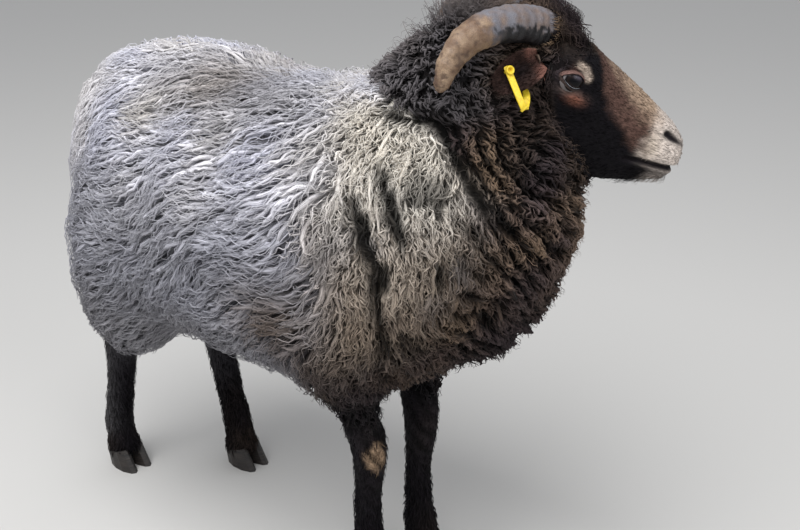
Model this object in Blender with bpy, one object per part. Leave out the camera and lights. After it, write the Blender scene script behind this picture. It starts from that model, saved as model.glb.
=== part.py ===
"""A young ram of a dwarf heath breed, standing, as a still life-size model.

Metres, +Z up, +X towards the chest, +Y to the ram's left.  The floor is z = 0.
The fleece is solid out to the tips of the coat.  It is melted from a few lofted
masses, then parted by a thin cut into trunk and neck; legs, tail and head fit it.
Run with:  blender --background --python part.py
"""
import math

import bmesh
import bpy
import numpy as np
from mathutils import Matrix, Vector

# ---------------------------------------------------------------- driving sizes
GAP = 0.0003                 # clearance between neighbouring solids
BACK = 0.538                 # top of the fleece over the back
BELLY = 0.222                # underside of the belly fleece
HALF_WIDTH = 0.148           # half the trunk's width, fleece and all
RUMP = -0.227                # hindmost point of the rump fleece
SHOULDER = 0.165             # station of the front legs along the body
HIP = -0.116                 # station of the hip joints
HOCK_HEIGHT = 0.176
KNEE_HEIGHT = 0.168
FETLOCK_HEIGHT = 0.056
CORONET_HEIGHT = 0.025       # height of the hoof at the middle of its claws
CORONET_SLOPE = 0.28         # rise of the coronet towards the toe
HOOF_LENGTH = 0.045
CLAW_HALF_WIDTH = 0.0092
CLAW_GAP = 0.0026

# where the middle of each hoof stands on the floor
FEET = {
    "right_front": (0.183, -0.042),
    "left_front": (0.184, 0.036),
    "right_hind": (-0.231, -0.042),
    "left_hind": (-0.122, 0.054),
}
# how far each hock stands ahead of the middle of its hoof
HOCK_LEAD = {"right_hind": 0.015, "left_hind": -0.038}

# the head's own frame: +X out of the muzzle, +Y its left, +Z up through the poll
HEAD_ORIGIN = Vector((0.291, 0.086, 0.543))
HEAD_YAW = math.radians(40)
HEAD_PITCH = math.radians(22)
HEAD = (Matrix.Translation(HEAD_ORIGIN) @ Matrix.Rotation(HEAD_YAW, 4, "Z")
        @ Matrix.Rotation(HEAD_PITCH, 4, "Y"))

EYE_RADIUS = 0.0118
EYE_CENTRE = Vector((0.001, 0.0335, 0.0))
EYE_AIM = Vector((0.30, 0.95, 0.04))

EAR_ROOT = Vector((-0.0305, 0.036, 0.0050))
# the way each ear points and the way its open side looks; the right one is laid
# back, the left one is held off the neck by the wool
EAR_AIM = {"right": (-0.60, -0.50, -0.62), "left": (-0.15, 0.95, -0.20)}
EAR_FACE = {"right": (0.20, -0.85, 0.49), "left": (0.85, 0.20, 0.45)}
EAR_LENGTH = 0.050
EAR_HALF_WIDTH = 0.0145

TAG_THICKNESS = 0.0017
TAG_HALF_WIDTH = 0.0036
TAG_PIN = (0.0333, -0.0054)   # along the right ear and down across it

BODY_VOXEL = 0.0065
BODY_TRIANGLES = 2100


# ---------------------------------------------------------------- small tools
def clear_scene():
    for obj in list(bpy.data.objects):
        bpy.data.objects.remove(obj)


def principled(name, colour, roughness, metallic=0.0):
    material = bpy.data.materials.new(name)
    material.use_nodes = True
    shader = material.node_tree.nodes["Principled BSDF"]
    shader.inputs["Base Color"].default_value = (*colour, 1.0)
    shader.inputs["Roughness"].default_value = roughness
    shader.inputs["Metallic"].default_value = metallic
    return material


def through(knots, values, t):
    """A smooth curve through values at knots, read at t: cubic pieces whose slopes
    are the harmonic mean of their neighbours', so it never overshoots."""
    x = np.asarray(knots, float)
    y = np.asarray(values, float)
    if y.ndim > 1:
        return np.stack([through(x, column, t) for column in y.T], axis=-1)
    h = np.diff(x)
    d = np.diff(y) / h
    slope = np.zeros_like(y)
    same = d[:-1] * d[1:] > 0
    slope[1:-1][same] = 2 * d[:-1][same] * d[1:][same] / (d[:-1] + d[1:])[same]
    slope[0], slope[-1] = d[0], d[-1]
    i = np.clip(np.searchsorted(x, t, side="right") - 1, 0, len(h) - 1)
    s = (t - x[i]) / h[i]
    return ((1 + 2 * s) * (1 - s) ** 2 * y[i] + s * (1 - s) ** 2 * h[i] * slope[i]
            + s * s * (3 - 2 * s) * y[i + 1] - s * s * (1 - s) * h[i] * slope[i + 1])


def rounded(angle, power):
    """Distance of a superellipse of unit half sizes from its centre, at each angle."""
    return (np.abs(np.cos(angle)) ** power + np.abs(np.sin(angle)) ** power) ** (-1 / power)


def object_from(name, mesh, material=None):
    """An object from a bmesh, its faces turned outwards; the bmesh is freed."""
    bmesh.ops.recalc_face_normals(mesh, faces=mesh.faces)
    if mesh.calc_volume(signed=True) < 0:
        bmesh.ops.reverse_faces(mesh, faces=mesh.faces)
    data = bpy.data.meshes.new(name)
    mesh.to_mesh(data)
    mesh.free()
    if material:
        data.materials.append(material)
    obj = bpy.data.objects.new(name, data)
    bpy.context.scene.collection.objects.link(obj)
    return obj


def skin_rings(name, rings, material=None, crescent=False):
    """Closes a stack of rings, an array (rows, columns, 3), with a point at each end,
    or across, when the rings are crescents that go out and come back."""
    rows, columns, _ = rings.shape
    mesh = bmesh.new()
    grid = [[mesh.verts.new(point) for point in ring] for ring in rings]
    for low, high in zip(grid[:-1], grid[1:]):
        for j in range(columns):
            k = (j + 1) % columns
            mesh.faces.new((low[j], low[k], high[k], high[j]))
    for end in (grid[0], grid[-1]):
        if crescent:
            for j in range(columns // 2 - 1):
                mesh.faces.new((end[j], end[j + 1], end[-2 - j], end[-1 - j]))
        else:
            middle = mesh.verts.new(sum((v.co for v in end), Vector()) / columns)
            for j in range(columns):
                mesh.faces.new((middle, end[(j + 1) % columns], end[j]))
    return object_from(name, mesh, material)


def loft(name, rows, across=(0, 1, 0), steps=20, sides=24, square=2.2, material=None):
    """A mass carried along a path.  Each row is its centre (x, y, z), then its half
    size across and its half size along the third direction.  square is the
    exponent of the superellipse that every section follows."""
    rows = np.asarray(rows, float)
    knots = np.linspace(0, 1, len(rows))
    t = np.linspace(0, 1, steps)
    line = through(knots, rows[:, :3], t)
    size = through(knots, rows[:, 3:], t)
    along = np.gradient(line, axis=0)
    along /= np.linalg.norm(along, axis=1, keepdims=True)
    side = np.asarray(across, float) - along * (along @ np.asarray(across, float))[:, None]
    side /= np.linalg.norm(side, axis=1, keepdims=True)
    third = np.cross(along, side)
    angle = np.linspace(0, 2 * math.pi, sides, endpoint=False)
    reach = rounded(angle, square)
    rings = (line[:, None]
             + side[:, None] * (size[:, 0:1] * (np.cos(angle) * reach))[..., None]
             + third[:, None] * (size[:, 1:2] * (np.sin(angle) * reach))[..., None])
    return skin_rings(name, rings, material)


def apply_modifiers(obj):
    graph = bpy.context.evaluated_depsgraph_get()
    graph.update()
    mesh = bpy.data.meshes.new_from_object(obj.evaluated_get(graph))
    obj.modifiers.clear()
    obj.data = mesh


def melt(objects, name, voxel, smoothing, triangles):
    """Melts overlapping masses into one closed form with a limited triangle count."""
    mesh = bmesh.new()
    for obj in objects:
        mesh.from_mesh(obj.data)
        bpy.data.objects.remove(obj)
    whole = object_from(name, mesh)
    remesh = whole.modifiers.new("melt", "REMESH")
    remesh.mode = "VOXEL"
    remesh.voxel_size = voxel
    soften = whole.modifiers.new("soften", "SMOOTH")
    soften.factor = 0.5
    soften.iterations = smoothing
    apply_modifiers(whole)
    count = sum(len(p.vertices) - 2 for p in whole.data.polygons)
    thin = whole.modifiers.new("thin", "DECIMATE")
    thin.ratio = min(1.0, triangles / count)
    apply_modifiers(whole)
    return whole


def keep_side(source, name, cuts, material=None):
    """The part of source on the positive side of every plane (point, normal), capped."""
    mesh = bmesh.new()
    mesh.from_mesh(source.data)
    for point, normal in cuts:
        geometry = mesh.verts[:] + mesh.edges[:] + mesh.faces[:]
        bmesh.ops.bisect_plane(mesh, geom=geometry, dist=1e-6, plane_co=Vector(point),
                               plane_no=Vector(normal), clear_inner=True)
        rim = [e for e in mesh.edges if e.is_boundary]
        bmesh.ops.triangle_fill(mesh, use_beauty=True, use_dissolve=False, edges=rim)
    return object_from(name, mesh, material)


def carve(obj, cutters):
    """Takes each cutter, grown along its normals by the gap, out of obj."""
    for cutter in cutters:
        grown = bmesh.new()
        grown.from_mesh(cutter.data)
        grown.normal_update()
        for vert in grown.verts:
            vert.co += vert.normal * GAP * 2
        tool = object_from("cutter", grown)
        cut = obj.modifiers.new("carve", "BOOLEAN")
        cut.operation = "DIFFERENCE"
        cut.solver = "EXACT"
        cut.object = tool
        apply_modifiers(obj)
        bpy.data.objects.remove(tool)


def hull_of(objects):
    """The convex hull round objects."""
    mesh = bmesh.new()
    for obj in objects:
        mesh.from_mesh(obj.data)
    made = bmesh.ops.convex_hull(mesh, input=mesh.verts)
    bmesh.ops.delete(mesh, geom=made["geom_interior"] + made["geom_unused"], context="VERTS")
    outer = {f for f in made["geom"] if isinstance(f, bmesh.types.BMFace)}
    bmesh.ops.delete(mesh, geom=[f for f in mesh.faces if f not in outer], context="FACES_ONLY")
    bmesh.ops.delete(mesh, geom=[e for e in mesh.edges if not e.link_faces], context="EDGES")
    return object_from("hull", mesh)


# ---------------------------------------------------------------- fleece
def fleece_masses():
    """Trunk, chest, neck, thighs and shoulders, out to the tips of the wool."""
    middle = (BACK + BELLY) / 2
    deep = (BACK - BELLY) / 2
    masses = [
        loft("trunk", [
            (RUMP, 0, 0.350, 0.024, 0.040),
            (RUMP + 0.012, 0, 0.355, 0.060, 0.096),
            (RUMP + 0.038, 0, 0.364, 0.098, 0.138),
            (RUMP + 0.085, 0, 0.374, 0.130, 0.158),
            (-0.08, 0, middle, HALF_WIDTH - 0.002, deep),
            (0.02, 0, middle - 0.007, HALF_WIDTH + 0.002, deep - 0.009),
            (0.10, 0.002, middle - 0.005, HALF_WIDTH, deep - 0.006),
            (0.17, 0.006, 0.378, 0.136, 0.146),
            (0.225, 0.016, 0.388, 0.112, 0.114),
            (0.258, 0.028, 0.394, 0.078, 0.080),
            (0.276, 0.036, 0.396, 0.036, 0.038),
        ], steps=30, sides=36, square=2.15),
        loft("neck", [
            (0.060, 0.000, 0.385, 0.100, 0.100),
            (0.115, 0.004, 0.405, 0.126, 0.126),
            (0.165, 0.022, 0.436, 0.122, 0.116),
            (0.203, 0.035, 0.484, 0.103, 0.096),
            (0.224, 0.037, 0.532, 0.078, 0.072),
            (0.236, 0.041, 0.570, 0.058, 0.050),
            (0.243, 0.046, 0.600, 0.026, 0.022),
        ], steps=28, sides=32, square=2.1),
        loft("ruff", [
            (0.190, 0.020, 0.272, 0.026, 0.026),
            (0.198, 0.028, 0.290, 0.066, 0.066),
            (0.206, 0.038, 0.320, 0.090, 0.088),
            (0.213, 0.048, 0.366, 0.107, 0.104),
            (0.221, 0.055, 0.425, 0.110, 0.107),
            (0.227, 0.052, 0.470, 0.103, 0.098),
            (0.234, 0.046, 0.503, 0.082, 0.080),
            (0.236, 0.044, 0.524, 0.042, 0.042),
        ], across=(-0.64, 0.77, 0), steps=22, sides=32, square=2.1),
    ]
    for leg, side in (("right_hind", -1), ("left_hind", 1)):
        pull = 0.35 * (FEET[leg][0] + HOCK_LEAD[leg] - HIP + 0.072)
        masses.append(loft("thigh", [
            (HIP - 0.000, side * 0.060, 0.410, 0.050, 0.056),
            (HIP - 0.004, side * 0.072, 0.350, 0.072, 0.080),
            (HIP - 0.012 + pull / 2, side * 0.072, 0.285, 0.066, 0.074),
            (HIP - 0.032 + pull, side * 0.064, 0.232, 0.050, 0.060),
            (HIP - 0.046 + pull, side * 0.056, 0.196, 0.030, 0.036),
        ], steps=16, sides=20))
        masses.append(loft("shoulder", [
            (SHOULDER - 0.010, side * 0.066, 0.400, 0.050, 0.056),
            (SHOULDER - 0.006, side * 0.074, 0.335, 0.062, 0.076),
            (SHOULDER - 0.002, side * 0.062, 0.272, 0.048, 0.056),
            (SHOULDER + 0.006, side * 0.050, 0.232, 0.030, 0.036),
        ], steps=14, sides=20))
    return masses


def build_tail(material):
    """A short tail lost in wool, hanging against the rump."""
    return loft("tail", [
        (RUMP + 0.066, 0.004, 0.462, 0.016, 0.016),
        (RUMP + 0.030, 0.003, 0.448, 0.025, 0.020),
        (RUMP + 0.004, 0.000, 0.404, 0.031, 0.022),
        (RUMP - 0.003, -0.001, 0.350, 0.029, 0.020),
        (RUMP + 0.004, 0.000, 0.300, 0.017, 0.013),
    ], steps=9, sides=12, material=material)


# ---------------------------------------------------------------- legs and hooves
def build_leg(leg, material):
    """One leg from the coronet up into the wool, with its knee or hock and fetlock."""
    x, y = FEET[leg]
    out = math.copysign(1.0, y)
    foot = [
        (x + 0.004, y, 0.000, 0.0195, 0.0210),
        (x + 0.001, y, 0.022, 0.0195, 0.0210),
        (x - 0.006, y, 0.040, 0.0176, 0.0194),
        (x - 0.009, y, FETLOCK_HEIGHT + 0.002, 0.0180, 0.0204),
    ]
    if "front" in leg:
        upper = [
            (x - 0.011, y, 0.082, 0.0152, 0.0172),
            (x - 0.012, y, 0.125, 0.0148, 0.0168),
            (x - 0.008, y, KNEE_HEIGHT, 0.0190, 0.0212),
            (x - 0.011, y + 0.002 * out, 0.192, 0.0198, 0.0226),
            (x - 0.017, y + 0.006 * out, 0.224, 0.0258, 0.0312),
            (x - 0.024, y + 0.010 * out, 0.262, 0.0300, 0.0380),
            (x - 0.026, y + 0.010 * out, 0.290, 0.0220, 0.0280),
        ]
    else:
        hx = x + HOCK_LEAD[leg]
        lean = hx - (x - 0.009)
        upper = [
            (x - 0.009 + 0.24 * lean, y, 0.084, 0.0164, 0.0196),
            (x - 0.009 + 0.64 * lean, y, 0.130, 0.0170, 0.0222),
            (hx, y + 0.002 * out, HOCK_HEIGHT, 0.0196, 0.0272),
            (hx + 0.016, y + 0.004 * out, 0.202, 0.0220, 0.0280),
            (hx + 0.038, y + 0.008 * out, 0.234, 0.0260, 0.0340),
            (hx + 0.058, y + 0.012 * out, 0.270, 0.0240, 0.0320),
        ]
    shaft = loft("shaft", foot + upper, steps=17, sides=12, square=2.1)
    plane = ((x + 0.008, y, CORONET_HEIGHT), (-CORONET_SLOPE, 0, 1))
    obj = keep_side(shaft, f"leg_{leg}", [plane], material)
    bpy.data.objects.remove(shaft)
    return obj


def build_claws(leg, material):
    """Two claws side by side, flat below, sloped at the toe, cut along the coronet."""
    x, y = FEET[leg]
    angle = np.linspace(0, 2 * math.pi, 10, endpoint=False)
    toe = np.clip(np.cos(angle), 0, 1)
    reach = rounded(angle, 2.4)
    plane = ((x + 0.008, y, CORONET_HEIGHT - GAP * 1.2), (CORONET_SLOPE, 0, -1))
    for label, side in (("inner", -1), ("outer", 1)):
        shift = side * math.copysign(CLAW_HALF_WIDTH + CLAW_GAP / 2, y)
        rings = []
        for z in (0.0, 0.012, 0.040):
            half = HOOF_LENGTH / 2 - 0.22 * z
            width = (CLAW_HALF_WIDTH - 0.03 * z) * (1 - 0.30 * toe ** 2)
            rings.append(np.stack([
                x + 0.008 - 0.40 * z + half * np.cos(angle) * reach,
                y + shift + width * np.sin(angle) * reach,
                np.full(len(angle), z)], -1))
        block = skin_rings("block", np.array(rings))
        keep_side(block, f"hoof_{leg}_{label}", [plane], material)
        bpy.data.objects.remove(block)


# ---------------------------------------------------------------- head
def head_outline():
    """Rows along the head: station, top line, jaw line, half width, widest height."""
    return np.array([
        (-0.062, 0.030, -0.040, 0.030, 0.000),
        (-0.052, 0.046, -0.062, 0.039, 0.000),
        (-0.030, 0.0545, -0.080, 0.0425, 0.000),
        (-0.010, 0.0495, -0.087, 0.0440, 0.000),
        (0.006, 0.0395, -0.087, 0.0435, -0.002),
        (0.022, 0.0290, -0.086, 0.0405, -0.008),
        (0.042, 0.0220, -0.084, 0.0345, -0.016),
        (0.068, 0.0130, -0.079, 0.0285, -0.024),
        (0.092, 0.0035, -0.071, 0.0250, -0.030),
        (0.110, -0.0045, -0.063, 0.0230, -0.033),
        (0.121, -0.0120, -0.057, 0.0195, -0.034),
        (0.127, -0.0190, -0.049, 0.0130, -0.034),
        (0.1285, -0.0270, -0.041, 0.0060, -0.034),
    ])


def build_head(material, rows=24, sides=20):
    """The head as rings across its long axis, from four smooth outline curves; soft
    bumps raise brow, cheek and nostril wing and sink socket, nostril and mouth."""
    outline = head_outline()
    station = outline[:, 0]
    even = np.linspace(station[0], station[-1], rows)
    gather = 0.5 - 0.5 * np.cos(math.pi * np.linspace(0, 1, rows))
    x = 0.5 * even + 0.5 * (station[0] + (station[-1] - station[0]) * gather)
    up, down, half, middle = (through(station, outline[:, i], x)[:, None] for i in range(1, 5))
    angle = np.linspace(0, 2 * math.pi, sides, endpoint=False)[None]
    reach = rounded(angle, 2.2)
    rise = np.where(np.sin(angle) > 0, up - middle, middle - down)
    z = middle + rise * np.sin(angle) * reach
    nose = np.clip(x / 0.11, 0, 1)[:, None]
    high = np.clip(np.sin(angle), 0, 1)
    low = np.clip(-np.sin(angle), 0, 1)
    y = half * np.cos(angle) * reach * (1 - 0.10 * nose * high) * (1 - 0.36 * low * (1 - 0.55 * nose))
    points = np.stack([np.broadcast_to(x[:, None], y.shape), y, z], axis=-1)
    for side in (-1, 1):
        bumps = [
            # centre, spread, push along (x, y, z)
            ((0.002, 0.043, 0.015), (0.016, 0.012, 0.007), (0, 0.0045, 0.0015)),
            ((0.004, 0.046, -0.001), (0.013, 0.020, 0.009), (0, -0.0030, 0)),
            ((0.014, 0.042, -0.020), (0.030, 0.018, 0.010), (0, 0.0022, 0)),
            ((0.040, 0.034, -0.004), (0.016, 0.020, 0.010), (0, -0.0020, 0)),
            ((0.108, 0.018, -0.011), (0.009, 0.010, 0.006), (0.0010, 0.0024, 0.0008)),
            ((0.112, 0.020, -0.019), (0.007, 0.010, 0.004), (-0.0030, -0.0046, 0)),
            ((0.110, 0.024, -0.0445), (0.020, 0.020, 0.0028), (0, -0.0028, 0)),
            ((0.112, 0.020, -0.053), (0.012, 0.014, 0.006), (0, 0.0018, 0)),
        ]
        for centre, spread, push in bumps:
            turn = np.array([1, side, 1])
            away = (points - np.array(centre) * turn) / np.array(spread)
            points = points + np.exp(-(away ** 2).sum(-1))[..., None] * np.array(push) * turn
    head = skin_rings("head", points, material)
    head.data.transform(HEAD)
    return head


def build_eye(side, material):
    """A ball with a slightly bulging cornea, looking out and a little forward."""
    mesh = bmesh.new()
    bmesh.ops.create_uvsphere(mesh, u_segments=12, v_segments=8, radius=EYE_RADIUS)
    for vert in mesh.verts:
        front = max(0.0, vert.co.z / EYE_RADIUS)
        vert.co += vert.co.normalized() * 0.0014 * front ** 6
    aim = Vector((EYE_AIM.x, side * EYE_AIM.y, EYE_AIM.z)).normalized()
    place = Matrix.Translation((EYE_CENTRE.x, side * EYE_CENTRE.y, EYE_CENTRE.z))
    mesh.transform(HEAD @ place @ aim.to_track_quat("Z", "X").to_matrix().to_4x4())
    return object_from("eye_left" if side > 0 else "eye_right", mesh, material)


def build_horn(side, material):
    """A thick horn that leaves the poll, arches back and out, and turns down."""
    rows = [
        (-0.018, 0.012, 0.028, 0.0125, 0.0140),
        (-0.034, 0.022, 0.0295, 0.0140, 0.0155),
        (-0.053, 0.034, 0.0275, 0.0140, 0.0158),
        (-0.074, 0.048, 0.0205, 0.0136, 0.0152),
        (-0.090, 0.060, 0.0090, 0.0126, 0.0142),
        (-0.100, 0.070, -0.0060, 0.0110, 0.0124),
        (-0.1035, 0.077, -0.0230, 0.0088, 0.0098),
        (-0.1030, 0.080, -0.0360, 0.0062, 0.0068),
        (-0.1025, 0.0805, -0.0430, 0.0028, 0.0030),
    ]
    rows = [(x, side * y, z, wide, deep) for x, y, z, wide, deep in rows]
    horn = loft("horn_left" if side > 0 else "horn_right", rows,
                across=(0.55, side * 0.80, 0.25), steps=14, sides=10, square=2.2,
                material=material)
    horn.data.transform(HEAD)
    return horn


def ear_frame(side):
    """The ear's own frame: x along it, y across it, z out of its open face."""
    label = "left" if side > 0 else "right"
    aim = Vector(EAR_AIM[label]).normalized()
    face = Vector(EAR_FACE[label])
    face = (face - aim * face.dot(aim)).normalized()
    turn = Matrix((aim, face.cross(aim), face)).transposed().to_4x4()
    root = Matrix.Translation((EAR_ROOT.x, side * EAR_ROOT.y, EAR_ROOT.z))
    return HEAD @ root @ turn


def build_ear(side, material):
    """A short leaf-shaped ear: a cupped blade, rolled at its root, thinner to the tip."""
    rows, columns = 11, 7
    rings = []
    for t in np.linspace(0, 1, rows):
        leaf = math.sqrt(max(0.0, 1 - ((t - 0.46) / 0.545) ** 2))
        half = EAR_HALF_WIDTH * max(leaf, 0.42 if t < 0.4 else 0.10)
        bend = 1.25 - 0.75 * t
        radius = half / math.sin(bend)
        thick = 0.0030 - 0.0012 * t
        arc = np.linspace(-bend, bend, columns)
        inner = np.stack([np.full(columns, t * EAR_LENGTH), radius * np.sin(arc),
                          radius - radius * np.cos(arc)], -1)
        outer = inner + np.stack([np.zeros(columns), np.sin(arc), -np.cos(arc)], -1) * thick
        rings.append(np.concatenate([inner, outer[::-1]]))
    name = "ear_left" if side > 0 else "ear_right"
    ear = skin_rings(name, np.array(rings), material, crescent=True)
    ear.data.transform(ear_frame(side))
    return ear


def build_tag(material):
    """A strap folded round the lower edge of the right ear, and the pin through it."""
    frame = ear_frame(-1)
    path = np.array([
        # along the ear, down across it, out of its face
        (0.0335, -0.0095, -0.0042),
        (0.0330, -0.0020, -0.0048),
        (0.0270, 0.0080, -0.0046),
        (0.0240, 0.0160, -0.0026),
        (0.0275, 0.0215, 0.0010),
        (0.0330, 0.0262, 0.0040),
        (0.0378, 0.0284, 0.0066),
        (0.0392, 0.0262, 0.0092),
        (0.0390, 0.0212, 0.0098),
        (0.0370, 0.0092, 0.0088),
        (0.0340, -0.0035, 0.0062),
        (0.0322, -0.0095, 0.0044),
    ])
    knots = np.linspace(0, 1, len(path))
    line = through(knots, path, np.linspace(0, 1, 17))
    run = np.gradient(line, axis=0)
    run /= np.linalg.norm(run, axis=1, keepdims=True)
    wide = np.array([1.0, 0.0, 0.0])
    wide = wide - run * (run @ wide)[:, None]
    wide /= np.linalg.norm(wide, axis=1, keepdims=True)
    thick = np.cross(run, wide) * TAG_THICKNESS / 2
    wide = wide * TAG_HALF_WIDTH
    rings = np.stack([line + wide + thick, line - wide + thick,
                      line - wide - thick, line + wide - thick], axis=1)
    strap = skin_rings("ear_tag", rings, material)
    strap.data.transform(frame)
    turned = []
    for radius, z in ((0.0034, -0.0078), (0.0034, -0.0062), (0.0016, -0.0061),
                      (0.0016, 0.0068), (0.0034, 0.0069), (0.0034, 0.0088)):
        angle = np.linspace(0, 2 * math.pi, 10, endpoint=False)
        turned.append(np.stack([TAG_PIN[0] + radius * np.cos(angle),
                                TAG_PIN[1] + radius * np.sin(angle), np.full(10, z)], -1))
    pin = skin_rings("ear_tag_pin", np.array(turned), material)
    pin.data.transform(frame)
    return strap, pin


# ---------------------------------------------------------------- whole animal
def finish():
    """Shades everything smooth and slides it level, so that the middle of the whole
    box stands over the origin."""
    parts = list(bpy.data.objects)
    corners = np.array([v.co for obj in parts for v in obj.data.vertices])
    middle = (corners.min(0) + corners.max(0)) / 2
    for obj in parts:
        obj.data.transform(Matrix.Translation((-middle[0], -middle[1], 0)))
        obj.data.shade_smooth()
        obj.data.set_sharp_from_angle(angle=math.radians(50))


def main():
    clear_scene()
    grey = principled("fleece_grey", (0.42, 0.41, 0.42), 0.9)
    dark = principled("fleece_dark", (0.075, 0.060, 0.058), 0.9)
    black = principled("leg_hair", (0.018, 0.017, 0.020), 0.85)
    face = principled("face_hair", (0.16, 0.10, 0.075), 0.8)
    horn = principled("horn", (0.42, 0.31, 0.21), 0.55)
    eye = principled("eye", (0.02, 0.015, 0.012), 0.1)
    claw = principled("hoof", (0.03, 0.027, 0.025), 0.5)
    yellow = principled("tag_plastic", (0.85, 0.66, 0.05), 0.4)

    fleece = melt(fleece_masses(), "fleece", BODY_VOXEL, 6, BODY_TRIANGLES)
    cut = Vector((0.172, 0.020, 0.420))
    aim = Vector((-0.83, -0.25, -0.50)).normalized()
    half = GAP / 2 + 0.00002
    trunk = keep_side(fleece, "trunk", [(cut + aim * half, aim)], grey)
    neck = keep_side(fleece, "neck", [(cut - aim * half, -aim)], dark)
    bpy.data.objects.remove(fleece)

    tail = build_tail(grey)
    carve(tail, [trunk])
    for leg in FEET:
        shaft = build_leg(leg, black)
        carve(shaft, [trunk])
        build_claws(leg, claw)

    head = build_head(face)
    eyes = [build_eye(side, eye) for side in (-1, 1)]
    horns = [build_horn(side, horn) for side in (-1, 1)]
    ears = [build_ear(side, face) for side in (-1, 1)]
    strap, pin = build_tag(yellow)
    carve(strap, [pin])
    carve(ears[0], [pin])
    pockets = [hull_of([ears[0], strap, pin]), hull_of([ears[1]])]
    carve(neck, [head] + pockets + horns)
    for pocket in pockets:
        bpy.data.objects.remove(pocket)
    carve(head, eyes + horns + ears)
    finish()


main()
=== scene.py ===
import math

import bmesh
import bpy
import numpy as np
from mathutils import Matrix, Vector
from mathutils.bvhtree import BVHTree


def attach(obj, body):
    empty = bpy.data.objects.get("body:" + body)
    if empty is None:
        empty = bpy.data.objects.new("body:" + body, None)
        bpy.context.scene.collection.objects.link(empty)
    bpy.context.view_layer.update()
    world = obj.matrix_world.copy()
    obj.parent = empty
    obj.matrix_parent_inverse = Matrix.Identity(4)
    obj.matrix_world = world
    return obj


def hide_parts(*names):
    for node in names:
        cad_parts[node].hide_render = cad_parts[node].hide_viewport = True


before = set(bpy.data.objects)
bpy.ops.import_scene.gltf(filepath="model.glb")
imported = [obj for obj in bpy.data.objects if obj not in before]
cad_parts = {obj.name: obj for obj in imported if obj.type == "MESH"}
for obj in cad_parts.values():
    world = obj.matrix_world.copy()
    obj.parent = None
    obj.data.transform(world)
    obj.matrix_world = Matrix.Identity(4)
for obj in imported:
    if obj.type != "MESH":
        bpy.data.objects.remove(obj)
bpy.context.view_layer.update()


# ---------------------------------------------------------------- form of the animal
# The solids of trunk, neck, head, tail and legs reach out to the tips of the coat. They
# are fused into one closed shell, and a grid round it holds each place's depth under the
# shell and the way out of it, so that skin and wool can be laid at a chosen depth.
FORM_VOXEL = 0.0048
FORM_SMOOTHING = 6
FIELD_PITCH = 0.008
FIELD_MARGIN = 0.032


def closed_form(names):
    """Vertices and quads of one skin round the named CAD nodes: merged, fused by a
    voxel remesh and relaxed."""
    bm = bmesh.new()
    for name in names:
        bm.from_mesh(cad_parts[name].data)
    bmesh.ops.remove_doubles(bm, verts=bm.verts, dist=1e-6)
    mesh = bpy.data.meshes.new("form")
    bm.to_mesh(mesh)
    bm.free()
    form = bpy.data.objects.new("form", mesh)
    bpy.context.collection.objects.link(form)
    fuse = form.modifiers.new("fuse", "REMESH")
    fuse.mode = "VOXEL"
    fuse.voxel_size = FORM_VOXEL
    relax = form.modifiers.new("relax", "SMOOTH")
    relax.factor = 0.5
    relax.iterations = FORM_SMOOTHING
    done = form.evaluated_get(bpy.context.evaluated_depsgraph_get()).to_mesh()
    points = np.empty(len(done.vertices) * 3, np.float32)
    done.vertices.foreach_get("co", points)
    quads = np.empty(len(done.loops), np.int32)
    done.loops.foreach_get("vertex_index", quads)
    bpy.data.objects.remove(form)
    bpy.data.meshes.remove(mesh)
    return points.reshape(-1, 3).astype(float), quads.reshape(-1, 4)


def unit(v):
    """Each vector divided by its length."""
    return v / np.maximum(np.linalg.norm(v, axis=-1, keepdims=True), 1e-9)


def dot(a, b):
    """Dot product of two arrays of vectors, one value for each, kept as a column."""
    return (a * b).sum(-1, keepdims=True)


def step(low, high, x):
    """0 below low, 1 above high, and t*t*(3 - 2t) between them."""
    t = np.clip((x - low) / (high - low), 0, 1)
    return t * t * (3 - 2 * t)


fleshy = ("trunk", "neck", "head", "tail", "leg_")
flesh = sorted(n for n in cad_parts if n.startswith(fleshy))
form_points, form_quads = closed_form(flesh)
form_tree = BVHTree.FromPolygons(form_points.tolist(), form_quads.tolist())

field_low = form_points.min(0) - FIELD_MARGIN
field_counts = np.ceil((form_points.max(0) + FIELD_MARGIN - field_low) / FIELD_PITCH).astype(int) + 1
field_axes = [field_low[i] + FIELD_PITCH * np.arange(field_counts[i]) for i in range(3)]
field_nodes = np.stack(np.meshgrid(*field_axes, indexing="ij"), -1).reshape(-1, 3)
nearest = [form_tree.find_nearest(p)[:2] for p in field_nodes.tolist()]
foot = np.array([hit[0] for hit in nearest])
facing = np.array([hit[1] for hit in nearest])
away = field_nodes - foot
field_depth = -np.sign(dot(away, facing)[:, 0]) * np.linalg.norm(away, axis=1)
field_depth = field_depth.reshape(field_counts)
field_out = unit(-np.stack(np.gradient(field_depth, FIELD_PITCH), -1))
field = np.concatenate([field_depth[..., None], field_out], -1)


def sample_field(p):
    """Depth under the coat's outer surface and outward direction at points p, each
    blended from the eight nearest nodes of the grid."""
    shape = p.shape[:-1]
    q = (p.reshape(-1, 3) - field_low) / FIELD_PITCH
    q = np.clip(q, 0, field_counts - 1.001)
    cell = q.astype(int)
    part = q - cell
    total = 0
    for corner in np.ndindex(2, 2, 2):
        share = np.prod(np.where(np.array(corner), part, 1 - part), axis=1)
        i, j, k = (cell + corner).T
        total = total + share[:, None] * field[i, j, k]
    return total[:, 0].reshape(shape), unit(total[:, 1:]).reshape(*shape, 3)


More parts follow.
